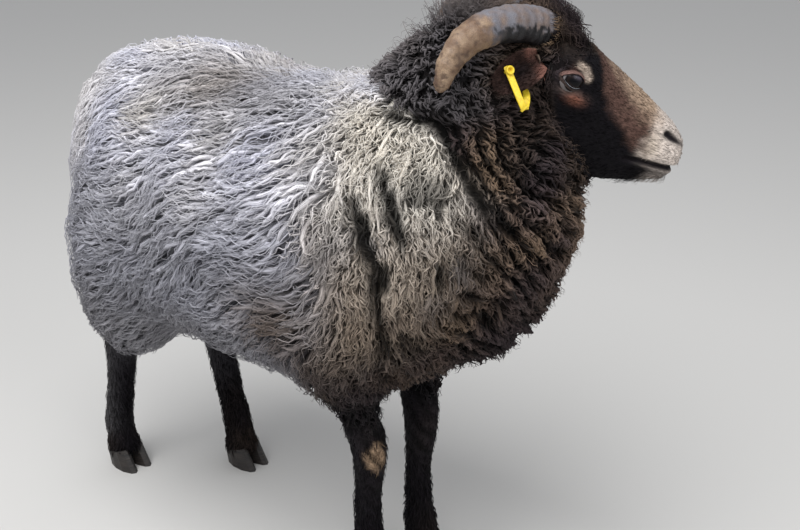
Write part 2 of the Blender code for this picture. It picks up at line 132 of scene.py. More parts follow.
# ---------------------------------------------------------------- markings and lie of the coat
# A young ram going grey: silver over trunk and rump, beige and tan at the shoulder, dark
# brown on neck and brisket, black on face and legs. Skin and coat both take their tint
# from the one function below, and the locks take their direction from the next.
HEAD_PLACE = np.array(Vector((0.2304, 0.0782, 0.543)))
HEAD_TURN = math.radians(40)
HEAD_NOD = math.radians(22)
HEAD_AXES = np.array(Matrix.Rotation(HEAD_TURN, 3, "Z") @ Matrix.Rotation(HEAD_NOD, 3, "Y"))
NECK_FOOT = np.array([0.100, -0.005])     # where the neck leaves the withers, on plan
NECK_WAY = np.array([0.857, 0.515])
LEG_PLACES = ((0.108, -0.054), (0.108, 0.036), (-0.272, -0.053), (-0.204, 0.047))

SILVER = np.array([0.82, 0.82, 0.92])
CREAM = np.array([0.84, 0.78, 0.68])
ASH = np.array([0.34, 0.33, 0.35])
BEIGE = np.array([0.52, 0.43, 0.33])
TAN = np.array([0.27, 0.185, 0.12])
UMBER = np.array([0.050, 0.036, 0.036])
SOOT = np.array([0.0050, 0.0042, 0.0056])
RUST = np.array([0.15, 0.062, 0.042])
NOSE_BROWN = np.array([0.088, 0.050, 0.040])
NOSE_TAN = np.array([0.41, 0.30, 0.215])
MUZZLE_PALE = np.array([0.56, 0.49, 0.44])
# near-black of the lips' skin, also the painted shade in nostrils and mouth
LIP_SKIN_AND_SHADE = np.array([0.010, 0.008, 0.010])
LID_PINK = np.array([0.150, 0.088, 0.076])
LID_GREY = np.array([0.110, 0.080, 0.072])

# in the head's frame: the left nostril, which the right one mirrors, and the line of the
# mouth as it falls on the upright middle plane
NOSTRIL = np.array([(0.1035, 0.0175, -0.0150), (0.1090, 0.0160, -0.0172),
                    (0.1150, 0.0132, -0.0192), (0.1205, 0.0095, -0.0215)])
MOUTH = np.array([(0.0790, 0, -0.0480), (0.0905, 0, -0.0456), (0.1010, 0, -0.0446),
                  (0.1120, 0, -0.0436), (0.1215, 0, -0.0426), (0.1275, 0, -0.0418),
                  (0.1310, 0, -0.0414)])
# line of the pale patch over the eye, on the head's own upright middle plane
BROW_PATCH = np.array([(0.001, 0, 0.0150), (0.0085, 0, 0.0125), (0.0140, 0, 0.0070)])

lattice = np.random.default_rng(7).random(4096)


def noise(p, size, seed=0):
    """Smooth random value from -1 to 1 at each point: random numbers on a cubic lattice
    of the given size, blended between its corners by t*t*(3 - 2t)."""
    q = np.asarray(p) / size + 100 + 17.3 * seed
    cell = np.floor(q).astype(np.int64)
    part = q - cell
    part = part * part * (3 - 2 * part)
    total = 0
    for corner in np.ndindex(2, 2, 2):
        share = np.prod(np.where(np.array(corner), part, 1 - part), axis=-1)
        i, j, k = np.moveaxis(cell + corner, -1, 0)
        total = total + share * lattice[(i * 73856093 ^ j * 19349663 ^ k * 83492791) % 4096]
    return 2 * total - 1


def in_head(p):
    """Points in the head's own frame: x out of the muzzle, y to its left, z up."""
    return (p - HEAD_PLACE) @ HEAD_AXES


def from_head(p):
    """Points of the head's own frame, placed in the model."""
    return p @ HEAD_AXES.T + HEAD_PLACE


def sided(p, side):
    """Points with y times side: -1 mirrors them, 0 lays them on the middle plane."""
    return p * np.array([1, side, 1])


def folded(p):
    """Points with both sides laid on the left one."""
    return sided(p, 0) + np.abs(p) * np.array([0, 1, 0])


def curve_distance(p, path):
    """Shortest distance from each point to a chain of straight links."""
    best = np.full(p.shape[:-1], np.inf)
    for a, b in zip(path[:-1], path[1:]):
        along = np.clip((p - a) @ (b - a) / ((b - a) @ (b - a)), 0, 1)
        best = np.minimum(best, np.linalg.norm(p - a - along[..., None] * (b - a), axis=-1))
    return best


def neck_station(p):
    """Distance along the neck on plan, from the withers towards the head."""
    return (p[..., :2] - NECK_FOOT) @ NECK_WAY


def bell(x, width, power=2):
    """1 at x = 0, falling off on both sides as exp(-(x / width) ** power)."""
    return np.exp(-(x / width) ** power)


def bump(p, centre, spread):
    """1 at centre, falling off as exp(-r*r) with r measured in spreads."""
    return np.exp(-(((p - np.array(centre)) / np.array(spread)) ** 2).sum(-1))


def near_leg(p, place, along, across, power):
    """1 on the upright line of a leg, falling off along and across the animal."""
    x, y = p[..., 0] - place[0], p[..., 1] - place[1]
    return np.exp(-((x / along) ** 2 + (y / across) ** power))


def face_share(p):
    """1 on the short-haired face and 0 in the wool, whose edge runs from the poll in
    front of the ear and down the cheek to the throat."""
    ahead, _, above = np.moveaxis(in_head(p), -1, 0)
    below = np.clip(-above, 0, None) / 0.075
    edge = -0.012 + 0.068 * below ** 2 + 0.62 * np.clip(above, 0, None)
    near = step(-0.12, -0.10, above)
    return near * step(-0.005, 0.006, ahead - edge + 0.004 * noise(p, 0.012, 3))


def leg_share(p):
    """1 on the short-haired lower legs, 0 in the wool above knee and hock."""
    total = 0
    height = p[..., 2] + 0.008 * noise(p, 0.02, 5)
    for place in LEG_PLACES:
        high, low = (0.232, 0.190) if place[0] > 0 else (0.272, 0.238)
        near = near_leg(p, place, 0.075, 0.052, 4)
        total = total + np.clip(1.6 * near, 0, 1) * step(high, low, height)
    return np.clip(total, 0, 1)


def dark_share(p):
    """1 on the dark neck and brisket, 0 on the grey trunk: the edge stands furthest
    forward at mid height and runs back over the withers."""
    z = p[..., 2]
    edge = 0.092 - 0.055 * ((z - 0.40) / 0.13) ** 2 - 1.6 * np.clip(z - 0.508, 0, None)
    edge = edge - 0.045 * np.clip((0.38 - z) / 0.10, 0, 1.2)
    soft = 0.008 + 0.026 * step(0.50, 0.44, z)
    return step(-1, 1, (neck_station(p) - edge + 0.010 * noise(p, 0.03, 11)) / soft)


def shoulder_share(p):
    """1 on the beige shoulder between trunk and neck, fading out slower on the left side."""
    rear = -0.085 - 0.060 * step(0.0, 0.08, p[..., 1])
    behind = neck_station(p) + 0.024 * noise(p, 0.045, 12) - rear
    return step(0, 1, behind / (-0.018 - rear)) * step(0.535, 0.510, p[..., 2])


def mix(a, b, share):
    """a where share is 0, b where it is 1."""
    return a + (b - a) * share[..., None]


def tint_of(p):
    """Colour of the hair's outer half at each point, blended from the named tints."""
    h = in_head(p)
    (x, _, z), (ahead, aside, above) = np.moveaxis(p, -1, 0), np.moveaxis(h, -1, 0)
    near, flat, station = sided(folded(p), -1), sided(h, 0), neck_station(p)
    patchy = noise(p, 0.05, 21)
    ragged = z + 0.02 * patchy
    shoulder, dark = shoulder_share(p), dark_share(p)
    c = mix(SILVER, CREAM, np.clip(0.25 + 0.5 * patchy, 0, 1) * step(0.30, 0.52, z))
    c = mix(c, CREAM, 0.75 * step(-0.255, -0.300, x))
    c = mix(c, c * 0.56, step(0.475, 0.365, ragged))
    c = mix(c, ASH * 0.9, 0.8 * step(0.345, 0.245, ragged))
    c = mix(c, ASH, 0.85 * bump(p, (-0.02, -0.06, 0.525), (0.10, 0.08, 0.05)))
    c = mix(c, mix(CREAM * 1.05, BEIGE, step(0.475, 0.40, ragged)), 0.80 * shoulder)
    c = mix(c, TAN * 0.42, 0.65 * shoulder * step(0.010, 0.080, station) * step(0.46, 0.385, z))
    c = mix(c, ASH * 0.60, 0.60 * shoulder * step(0.0, 0.7, noise(p, 0.026, 23)) * step(0.46, 0.41, z))
    c = mix(c, TAN * 0.8, 0.60 * shoulder * step(0.41, 0.33, ragged))
    c = mix(c, ASH * 0.28, 0.80 * shoulder * step(0.325, 0.270, ragged))
    c = mix(c, TAN * 0.62, 0.85 * bump(near, (0.075, -0.145, 0.325), (0.042, 0.05, 0.042)))
    c = mix(c, UMBER * 1.3, 0.8 * bump(near, (0.120, -0.105, 0.280), (0.055, 0.06, 0.036)))
    c = mix(c, TAN, 0.30 * bump(near, (-0.07, -0.06, 0.52), (0.04, 0.04, 0.03)))
    c = mix(c, mix(UMBER * 1.7, TAN * 0.85, np.clip(0.35 + 0.7 * noise(p, 0.030, 22), 0, 1)), dark)
    c = mix(c, UMBER, 0.8 * dark * step(0.075, 0.125, station) * step(0.42, 0.35, z))
    c = mix(c, ASH * 0.36, 0.7 * dark * step(0.500, 0.525, z) * step(0.12, 0.07, station))
    c = mix(c, SOOT * 2.5, 0.55 * dark * step(0.36, 0.28, z))
    c = mix(c, SOOT * 3.5, 0.35 * dark * bump(h, (-0.085, -0.03, -0.02), (0.05, 0.06, 0.04)))
    c = mix(c, SOOT * 2.5, 0.65 * dark * step(-0.050, -0.022, ahead) * step(-0.10, -0.08, above))
    # black shanks with a worn tan knee on the right fore leg
    legs = np.clip(sum(near_leg(p, place, 0.06, 0.05, 2) for place in LEG_PLACES), 0, 1)
    c = mix(c, SOOT * 1.8, legs * step(0.285, 0.235, z))
    knee = bump(p, (0.136, -0.061, 0.174), (0.02, 0.017, 0.02)) + 0.14 * noise(p, 0.006, 31)
    c = mix(c, TAN * 1.15, 0.9 * step(0.35, 0.6, knee))
    # black face, tan bridge and brow, pale muzzle, rusty patch under the eye
    bridge_foot = np.interp(ahead, (0.010, 0.016, 0.034, 0.060, 0.084, 0.100),
                            (0.050, 0.031, -0.003, -0.024, -0.038, -0.045))
    over_foot = above - bridge_foot + 0.004 * noise(p, 0.008, 32) + 0.002 * noise(p, 0.003, 34)
    ridge = step(0.008, 0.042, over_foot - 0.25 * np.abs(aside) + 0.004 * noise(p, 0.006, 35))
    muzzle = step(0.080, 0.103, ahead + 0.004 * noise(p, 0.006, 33)) * step(-0.052, -0.040, above)
    brow = bell(curve_distance(flat, BROW_PATCH), 0.0030 + 0.09 * np.clip(ahead, 0, 0.012), 4)
    brow = brow * step(-0.6, 0.3, noise(p, 0.0022, 36) + 0.6)
    under = bump(flat, (0.0110, 0, -0.0135), (0.008, 1, 0.0042))
    f = mix(SOOT, NOSE_BROWN, step(-0.006, 0.008, over_foot))
    f = mix(f, NOSE_TAN, 0.85 * ridge)
    f = mix(f, MUZZLE_PALE, muzzle)
    f = mix(f, BEIGE * 0.9, 0.8 * muzzle * bump(flat, (0.092, 0, -0.030), (0.010, 1, 0.012)))
    f = mix(f, MUZZLE_PALE * 0.55, step(0.098, 0.112, ahead) * step(-0.046, -0.055, above))
    f = mix(f, LID_PINK, np.clip(1.3 * bump(flat, (-0.0050, 0, 0.0120), (0.0085, 1, 0.0042)), 0, 1))
    f = mix(f, LID_GREY, np.clip(1.2 * bump(flat, (0.0060, 0, -0.0098), (0.0115, 1, 0.0030)), 0, 1))
    f = mix(f, MUZZLE_PALE * np.array([0.76, 0.70, 0.64]), np.clip(1.1 * brow, 0, 1))
    f = mix(f, RUST, np.clip(1.2 * under, 0, 1))
    f = mix(f, TAN * 0.35, 0.6 * step(0.022, 0.034, above) * step(-0.005, 0.02, ahead))
    # dark lip skin and painted shade in the nostrils and along the line of the mouth
    nostril_skin_and_shade = bell(curve_distance(folded(h), NOSTRIL), 0.0042, 4)
    f = mix(f, LIP_SKIN_AND_SHADE, np.clip(nostril_skin_and_shade + bell(curve_distance(flat, MOUTH), 0.0030, 4), 0, 1))
    return mix(c, f, face_share(p))


def lie_of_coat(p, out):
    """Unit direction in which the hair lies at points p on a surface facing out: back and
    down over the trunk, down at the shoulder, down and forward on the neck, straight down
    on legs and rump, back from the nose over the face."""
    x, y, z = np.moveaxis(p, -1, 0)
    one, bare = np.ones_like(z), leg_share(p)
    aside = np.tanh(y / 0.03) * np.clip(out[..., 2], 0, 1)
    way = np.stack([-0.80 * one, 0.75 * aside, -0.42 * one], -1)
    for toward, share in (((-0.50, 0, -0.80), 0.8 * step(0.37, 0.27, z)),
                          ((-0.25, 0, -0.95), 0.85 * step(-0.17, -0.28, x)),
                          ((0.05, -0.05, -1.0), shoulder_share(p)),
                          ((0.44, 0.36, -0.82), dark_share(p)), ((0, 0, -1.0), bare)):
        way = mix(way, np.array(toward), share)
    swirl = 0.55 * noise(p, 0.055, 41) + 0.35 * noise(p, 0.022, 42)
    cheek = 0.9 * step(-0.03, -0.06, in_head(p)[..., 2])
    face_way = np.stack([-one, 0 * one, -0.25 * one - cheek], -1) @ HEAD_AXES.T
    face = face_share(p)
    way = mix(way, face_way, face)
    way = way - out * dot(way, out)
    way = unit(way + 1e-6)
    turn = (swirl * (1 - face) * (1 - bare))[..., None]
    return unit(way * np.cos(turn) + np.cross(out, way) * np.sin(turn))


SHOULDER_CREASES = (
    np.array([(0.148, -0.107, 0.452), (0.161, -0.112, 0.423), (0.173, -0.113, 0.391),
              (0.178, -0.109, 0.345), (0.176, -0.098, 0.312)]),
    np.array([(0.160, -0.083, 0.468), (0.178, -0.091, 0.443), (0.189, -0.093, 0.424)]))
COLLAR_CREASE = np.array([(0.140, -0.060, 0.517), (0.177, -0.053, 0.517), (0.192, -0.046, 0.514),
                          (0.202, -0.045, 0.492), (0.216, -0.036, 0.468), (0.230, -0.033, 0.448),
                          (0.251, -0.014, 0.419)])
NECK_ROLL = 0.0150


def crease_share(p):
    """1 at the bottom of the deep partings of neck and shoulder wool, 0 between them:
    rolls across the neck, warped and broken by noise, and the named long partings, all
    read where the point comes out of the coat."""
    depth, out = sample_field(p)
    q = p + out * depth[..., None]
    station, z = neck_station(q), q[..., 2]
    dark = dark_share(q)
    roll = ((0.83 * station + 0.56 * z) / NECK_ROLL + 0.80 * noise(q, 0.045, 61)
            + 0.17 * noise(q, 0.013, 62))
    rolls = bell(np.abs(roll - np.round(roll)), 0.21) * step(-0.75, -0.30, noise(q, 0.026, 63)) * dark
    rolls = rolls * step(0.545, 0.505, z) * (1 - face_share(q))
    near = sided(folded(q), -1)
    warp = 0.004 * noise(q, 0.014, 66)
    long = sum(bell(curve_distance(near, c) + warp, 0.0070) for c in SHOULDER_CREASES)
    collar = bell(curve_distance(q, COLLAR_CREASE) + warp, 0.0052)
    rope = noise(q * np.array([1, 1, 0.32]), 0.0115, 64)
    ropes = step(0.22, 0.50, rope) * step(-0.035, 0.012, station) * (1 - dark) * step(0.50, 0.44, z)
    return np.clip(rolls + long + collar + 0.85 * ropes, 0, 1)


# ---------------------------------------------------------------- skin
# One skin stands for all the nodes of flesh. The body's part is the fused form drawn in
# by the depth of the wool; the head's part is lofted finely enough for nostrils, lips
# and sockets and ends inside the neck wool, and the ears grow out of it.
WOOL_DEPTH = 0.024
FUR_DEPTH = 0.0016
POLL_DEPTH = 0.012
SINK_ROUNDS, SINK_STEP = 8, 0.004
HEAD_ROWS, HEAD_SIDES = 190, 200
HEAD_OUTLINE = np.array([
    # station, top line, jaw line, half width, widest height
    (-0.062, 0.030, -0.040, 0.030, 0.000),
    (-0.052, 0.046, -0.062, 0.039, 0.000),
    (-0.030, 0.0545, -0.080, 0.0425, 0.000),
    (-0.010, 0.0495, -0.087, 0.0440, 0.000),
    (0.006, 0.0395, -0.087, 0.0435, -0.002),
    (0.022, 0.0290, -0.086, 0.0405, -0.008),
    (0.042, 0.0220, -0.084, 0.0345, -0.016),
    (0.068, 0.0130, -0.079, 0.0285, -0.024),
    (0.092, 0.0035, -0.071, 0.0250, -0.030),
    (0.110, -0.0045, -0.063, 0.0230, -0.033),
    (0.121, -0.0120, -0.057, 0.0195, -0.034),
    (0.127, -0.0190, -0.049, 0.0130, -0.034),
    (0.1290, -0.0265, -0.0415, 0.0070, -0.034),
    (0.1298, -0.0325, -0.0355, 0.0014, -0.034),
])


def through(knots, values, at):
    """Smooth curve through values at the knots that never overshoots: cubic between
    knots, each slope the harmonic mean of its neighbours or 0 at a turn."""
    gap, rise = np.diff(knots), np.diff(values, axis=0)
    grade = rise / (gap if values.ndim == 1 else gap[:, None])
    before, after = grade[:-1], grade[1:]
    same = before * after > 0
    mean = np.where(same, 2 * before * after / np.where(same, before + after, 1), 0)
    slope = np.concatenate([grade[:1], mean, grade[-1:]])
    i = np.clip(np.searchsorted(knots, at, side="right") - 1, 0, len(gap) - 1)
    t = (at - knots[i]) / gap[i]
    width = gap[i]
    if values.ndim > 1:
        t, width = t[:, None], width[:, None]
    return ((1 + 2 * t) * (1 - t) ** 2 * values[i] + t * (1 - t) ** 2 * width * slope[i]
            + t * t * (3 - 2 * t) * values[i + 1] + t * t * (t - 1) * width * slope[i + 1])


def ring_normals(p):
    """Outward normals of a grid of rings: across its columns, which close, and its rows."""
    around = np.roll(p, -1, 1) - np.roll(p, 1, 1)
    along = np.gradient(p, axis=0)
    return unit(np.cross(around, along))


def circle(count):
    """Evenly spaced angles once round."""
    return np.linspace(0, 2 * math.pi, count, endpoint=False)


def ring_cells(rows, columns, wrapped=False):
    """Two triangles for each cell of a grid of rings that close on themselves; wrapped
    joins the last ring to the first."""
    r, c = np.meshgrid(np.arange(rows - (not wrapped)), np.arange(columns), indexing="ij")
    here, there, beside = r * columns, (r + 1) % rows * columns, (c + 1) % columns
    a, b, d, e = here + c, here + beside, there + c, there + beside
    return np.concatenate([np.stack(side, -1).reshape(-1, 3) for side in ((a, b, e), (a, e, d))])


def ring_triangles(rows, columns, first=0):
    """The cells of the rings and a fan over the first and the last of them, whose
    centres follow the rings' own points."""
    c, last = np.arange(columns), (rows - 1) * columns
    caps = [np.stack([np.full(columns, last + columns), (c + 1) % columns, c], -1),
            np.stack([np.full(columns, last + columns + 1), last + c, last + (c + 1) % columns], -1)]
    return np.concatenate([ring_cells(rows, columns)] + caps) + first


def with_centres(rings):
    """The points of a grid of rings, then the centres of its first and last rings."""
    return np.concatenate([rings.reshape(-1, 3), rings[:1].mean(1), rings[-1:].mean(1)])


def skull():
    """Head surface: rings across the head's length, each an egg-shaped superellipse set
    by the outline's curves, pushed out and in by soft round bumps, then drawn in by the
    coat. Nostrils and mouth are grooves along curves, each with a raised rim."""
    station = HEAD_OUTLINE[:, 0]
    t = np.linspace(0, 1, HEAD_ROWS)
    gather = 0.5 - 0.5 * np.cos(math.pi * t)
    x = station[0] + (station[-1] - station[0]) * (0.5 * t + 0.5 * gather)
    up, down, half, middle = (through(station, HEAD_OUTLINE[:, i], x)[:, None] for i in range(1, 5))
    angle = circle(HEAD_SIDES)[None]
    power = 2.2
    reach = (np.abs(np.cos(angle)) ** power + np.abs(np.sin(angle)) ** power) ** (-1 / power)
    z = middle + np.where(np.sin(angle) > 0, up - middle, middle - down) * np.sin(angle) * reach
    nose = np.clip(x / 0.11, 0, 1)[:, None]
    high, low = np.clip(np.sin(angle), 0, 1), np.clip(-np.sin(angle), 0, 1)
    y = half * np.cos(angle) * reach * (1 - 0.10 * nose * high) * (1 - 0.36 * low * (1 - 0.55 * nose))
    p = np.stack([np.broadcast_to(x[:, None], y.shape), y, z], -1)
    bumps = [
        # centre, spread, push along (x, y, z)
        ((0.002, 0.043, 0.015), (0.016, 0.012, 0.007), (0, 0.0048, 0.0015)),
        ((0.000, 0.047, 0.0), (0.015, 0.016, 0.011), (0, -0.0036, 0)),
        ((0.018, 0.042, -0.018), (0.026, 0.018, 0.008), (0, 0.0024, 0)),
        ((0.046, 0.034, -0.006), (0.020, 0.020, 0.010), (0, -0.0024, 0)),
        ((0.024, 0.042, -0.006), (0.008, 0.014, 0.006), (0, -0.0022, 0)),
        ((0.020, 0.040, -0.055), (0.026, 0.020, 0.020), (0, 0.0022, 0)),
        ((0.106, 0.018, -0.009), (0.010, 0.010, 0.0055), (0.0010, 0.0030, 0.0010)),
        ((0.120, 0.012, -0.031), (0.009, 0.012, 0.007), (0.0012, 0.0014, 0)),
        ((0.104, 0.022, -0.033), (0.014, 0.014, 0.009), (0, 0.0020, 0)),
        ((0.114, 0.016, -0.053), (0.012, 0.014, 0.006), (0.0012, 0.0020, 0)),
    ]
    for side in (-1, 1):
        for centre, spread, push in bumps:
            p = p + bump(p, sided(centre, side), spread)[..., None] * sided(push, side)
    out = ring_normals(p)
    poll = step(0.024, 0.040, p[..., 2]) * step(0.022, 0.004, p[..., 0])
    jaw = 0.068 * (np.clip(-p[..., 2], 0, None) / 0.075) ** 2
    depth = FUR_DEPTH + POLL_DEPTH * np.maximum(poll, step(0.0, -0.012, p[..., 0] + 0.012 - jaw))
    nostril = curve_distance(folded(p), NOSTRIL)
    mouth = curve_distance(sided(p, 0), MOUTH)
    depth = depth + 0.0062 * bell(nostril, 0.0032) - 0.0010 * bell(nostril - 0.0048, 0.0018)
    depth = depth + 0.0042 * bell(mouth, 0.0021) - 0.0009 * bell(mouth - 0.0048, 0.0022)
    split = bell(p[..., 1], 0.0011) * step(0.1235, 0.1270, p[..., 0]) * step(-0.041, -0.036, p[..., 2])
    return p - out * (depth + 0.0012 * split)[..., None]


def coat_depth(p):
    """Depth of the coat over the body's skin: thin on legs and tail, deep in the wool;
    the skin that passes under the head's own part is sunk clear of it."""
    depth = WOOL_DEPTH - 0.011 * dark_share(p) - 0.006 * shoulder_share(p) * (1 - dark_share(p))
    depth = depth + 0.006 * crease_share(p)
    depth = depth + (0.0024 - depth) * leg_share(p)
    tail = bump(p, (-0.295, -0.008, 0.345), (0.022, 0.034, 0.055))
    depth = depth - 0.013 * np.clip(1.4 * tail, 0, 1)
    h = in_head(p)
    inside = step(-0.050, -0.035, h[..., 0]) * step(-0.105, -0.095, h[..., 2])
    return np.maximum(depth, 0.012 * inside)


skin_body = form_points.copy()
wanted = coat_depth(skin_body)
for _ in range(SINK_ROUNDS):
    depth, out = sample_field(skin_body)
    skin_body -= out * (np.clip(wanted - depth, -SINK_STEP, SINK_STEP))[:, None]
# the shanks swell at the coronet and run down into the claws
coronet = step(0.046, 0.028, skin_body[:, 2])[:, None]
skin_body += coronet * (out * np.array([1, 1, 0]) * 0.0036 - np.array([0, 0, 0.009]))
body_triangles = np.concatenate([form_quads[:, [0, 1, 2]], form_quads[:, [0, 2, 3]]])

skull_rings = skull()
skin_head = from_head(with_centres(skull_rings))
head_triangles = ring_triangles(HEAD_ROWS, HEAD_SIDES, len(skin_body))


def mesh_object(name, points, faces, material, tint=None, smooth=True):
    """A mesh piece at the origin from arrays of points and of faces with equal sides,
    with its material and, where tint is given, a colour painted on each point."""
    mesh = bpy.data.meshes.new(name)
    count, sides = faces.shape
    mesh.vertices.add(len(points))
    mesh.vertices.foreach_set("co", np.ascontiguousarray(points, np.float32).ravel())
    mesh.loops.add(count * sides)
    mesh.loops.foreach_set("vertex_index", np.ascontiguousarray(faces, np.int32).ravel())
    mesh.polygons.add(count)
    mesh.polygons.foreach_set("loop_start", np.arange(0, count * sides, sides, dtype=np.int32))
    mesh.polygons.foreach_set("use_smooth", np.full(count, smooth))
    mesh.update()
    made = bpy.data.objects.new(name, mesh)
    bpy.context.collection.objects.link(made)
    mesh.materials.append(material)
    if tint is not None:
        paint(made, "tint", tint)
    return made


def paint(obj, name, values):
    """Stores three values for each point of the mesh in a named colour attribute."""
    attribute = obj.data.attributes.new(name, "FLOAT_COLOR", "POINT")
    full = np.ones((len(values), 4), np.float32)
    full[:, :3] = values
    attribute.data.foreach_set("color", full.ravel())


# the ears: cupped blades rolled at the root; the right one carries the tag
EAR_ROOT = np.array([-0.0305, 0.036, 0.0050])
EAR_AIM = {"right": (-0.60, -0.50, -0.62), "left": (-0.15, 0.95, -0.20)}
EAR_FACE = {"right": (0.20, -0.85, 0.49), "left": (0.85, 0.20, 0.45)}
EAR_LENGTH = 0.050
EAR_HALF_WIDTH = 0.0145
EAR_ROWS, EAR_COLUMNS = 44, 26
SIDES = {"right": -1, "left": 1}


def ear_frame(label):
    """The ear's own frame: x along it, y across it, z out of its open face."""
    aim = unit(np.array(EAR_AIM[label]))
    face = np.array(EAR_FACE[label])
    face = unit(face - aim * (face @ aim))
    axes = HEAD_AXES @ np.stack([aim, np.cross(face, aim), face], -1)
    root = HEAD_AXES @ sided(EAR_ROOT, SIDES[label]) + HEAD_PLACE
    return axes, root


def ear_rings():
    """Ear surface: each ring is an arc of the cup and its offset behind it, closed round
    both edges; the arc widens from the root and narrows to a blunt tip."""
    t = np.linspace(0, 1, EAR_ROWS)[:, None]
    leaf = np.sqrt(np.clip(1 - ((t - 0.46) / 0.545) ** 2, 0, 1))
    half = EAR_HALF_WIDTH * np.maximum(leaf, np.where(t < 0.4, 0.42, 0.07))
    bend = 1.25 - 0.75 * t
    radius = half / np.sin(bend)
    thick = (0.0026 - 0.0012 * t) * (0.35 + 0.65 * step(1.0, 0.93, t))
    across = np.linspace(-1, 1, EAR_COLUMNS)[None]
    arc = bend * across
    edge = thick * (1 - np.abs(across) ** 9) * 0.5
    x = np.broadcast_to(t * EAR_LENGTH, arc.shape)
    wave = 0.0007 * np.sin(9 * t + 2.0 * across)
    middle = radius + thick / 2

    def blade(r):
        return np.stack([x, r * np.sin(arc), radius - r * np.cos(arc) + wave], -1)
    return np.concatenate([blade(middle - edge), blade(middle + edge)[:, ::-1]], 1)


skin_parts = [skin_body, skin_head]
triangle_parts = [body_triangles, head_triangles]
for label in SIDES:
    axes, root = ear_frame(label)
    ear = with_centres(ear_rings()) @ axes.T + root
    first = sum(len(part) for part in skin_parts)
    triangle_parts.append(ring_triangles(EAR_ROWS, 2 * EAR_COLUMNS, first)[:, ::-1])
    skin_parts.append(ear)
skin_points = np.concatenate(skin_parts)
skin_triangles = np.concatenate(triangle_parts)
skin_region = np.repeat(np.arange(len(triangle_parts)), [len(t) for t in triangle_parts])
EAR_TINT = np.array([0.034, 0.019, 0.016])
EAR_RIM = np.array([0.17, 0.080, 0.062])


def ear_tint(p):
    """Dark brown ear, pinkish brown along its forward rim, with painted shade in the hollow."""
    colour = np.broadcast_to(EAR_TINT, p.shape)
    for label in SIDES:
        axes, root = ear_frame(label)
        q = (p - root) @ axes
        forward = step(0.014, 0.006, q[..., 0] + 0.003 * noise(p, 0.006, 52))
        forward = forward * step(-0.002, 0.005, q[..., 2])
        near = bump(q, (0.025, 0, 0.004), (0.05, 0.03, 0.03)) > 0.3
        colour = mix(colour, EAR_RIM, forward * near)
        # painted shade: the hollow of the cup is darkened towards black
        colour = mix(colour, SOOT, 0.75 * near * bump(q, (0.020, 0, 0.0), (0.018, 0.007, 0.006)))
    return colour * (1 + 0.35 * noise(p, 0.006, 51))[..., None]


def plug(node, values):
    """Sets a node's sockets: to constants, or to what feeds them, which is an output, or
    a node for its first output."""
    for socket, value in values.items():
        if isinstance(value, bpy.types.Node):
            value = value.outputs[0]
        if isinstance(value, bpy.types.NodeSocket):
            node.id_data.links.new(value, node.inputs[socket])
        else:
            node.inputs[socket].default_value = value


def add(tree, kind, values, **settings):
    """A new shader node with its settings and its sockets' values."""
    node = tree.nodes.new("ShaderNode" + kind)
    for name, value in settings.items():
        setattr(node, name, value)
    plug(node, values)
    return node


def fibre_group():
    """Node group: fine streaks along a hair or lock. Takes its place along and across,
    and its own chance number, and gives a brightness factor and a height."""
    group = bpy.data.node_groups.new("fibres", "ShaderNodeTree")
    new = group.interface.new_socket
    new("Strand", in_out="INPUT", socket_type="NodeSocketVector")
    new("Contrast", in_out="INPUT", socket_type="NodeSocketFloat")
    new("Factor", in_out="OUTPUT", socket_type="NodeSocketFloat")
    new("Height", in_out="OUTPUT", socket_type="NodeSocketFloat")
    taken, given = group.nodes.new("NodeGroupInput").outputs, group.nodes.new("NodeGroupOutput")
    stretch = add(group, "VectorMath", {0: taken["Strand"], 1: (2.2, 7.0, 97.0)}, operation="MULTIPLY")
    streak = add(group, "TexNoise", {"Vector": stretch, "Scale": 1.0, "Detail": 2.0})
    height = add(group, "MapRange", {"Value": streak, "From Min": 0.3, "From Max": 0.7, "To Min": -1.0})
    factor = add(group, "Math", {0: height, 1: taken["Contrast"], 2: 1.0}, operation="MULTIPLY_ADD")
    plug(given, {"Factor": factor, "Height": height})
    return group


fibres = fibre_group()


def new_material(name, roughness, sheen=0.0, specular=0.5):
    """A Principled material with its constant values on its own sockets; gives the
    material, its node tree and the shader."""
    material = bpy.data.materials.new(name)
    material.use_nodes = True
    shader = material.node_tree.nodes["Principled BSDF"]
    plug(shader, {"Roughness": roughness, "Sheen Weight": sheen, "Sheen Roughness": 0.5,
                  "Specular IOR Level": specular})
    return material, material.node_tree, shader


def painted(tree, name):
    """Node that reads a named attribute of the mesh."""
    return add(tree, "Attribute", {}, attribute_name=name)


def object_place(tree):
    """Place on the piece, in metres."""
    return add(tree, "TexCoord", {}).outputs["Object"]


def times(tree, colour, factor):
    """A colour multiplied by a factor that is 1 on average."""
    return add(tree, "VectorMath", {0: colour, "Scale": factor}, operation="SCALE")


def two_tone(tree, factor, low, dark, high, pale):
    """Colour that goes from dark, where the factor is low, to pale, where it is high."""
    node = add(tree, "ValToRGB", {"Fac": factor})
    for element, place, colour in zip(node.color_ramp.elements, (low, high), (dark, pale)):
        element.position, element.color = place, (*colour, 1)
    return node


def bumped(tree, height, distance, strength=1.0):
    """The surface's normal tilted by a height."""
    return add(tree, "Bump", {"Distance": distance, "Strength": strength, "Height": height})


def hide_material():
    """Skin under short hair: the painted tint broken by fine noise that is drawn out
    along the face, and a bump of the same streaks."""
    material, tree, shader = new_material("short_hair", 0.65, 0.0, 0.08)
    turn = add(tree, "Mapping", {"Vector": object_place(tree), "Rotation": (0, HEAD_NOD, HEAD_TURN),
                                 "Scale": (0.0060, 0.0010, 0.0014)}, vector_type="TEXTURE")
    grain = add(tree, "TexNoise", {"Vector": turn, "Scale": 1.0, "Detail": 3.0})
    spread = add(tree, "MapRange", {"Value": grain, "From Min": 0.28, "From Max": 0.72,
                                    "To Min": 0.45, "To Max": 1.55})
    plug(shader, {"Base Color": times(tree, painted(tree, "tint"), spread),
                  "Normal": bumped(tree, grain, 0.0009)})
    return material


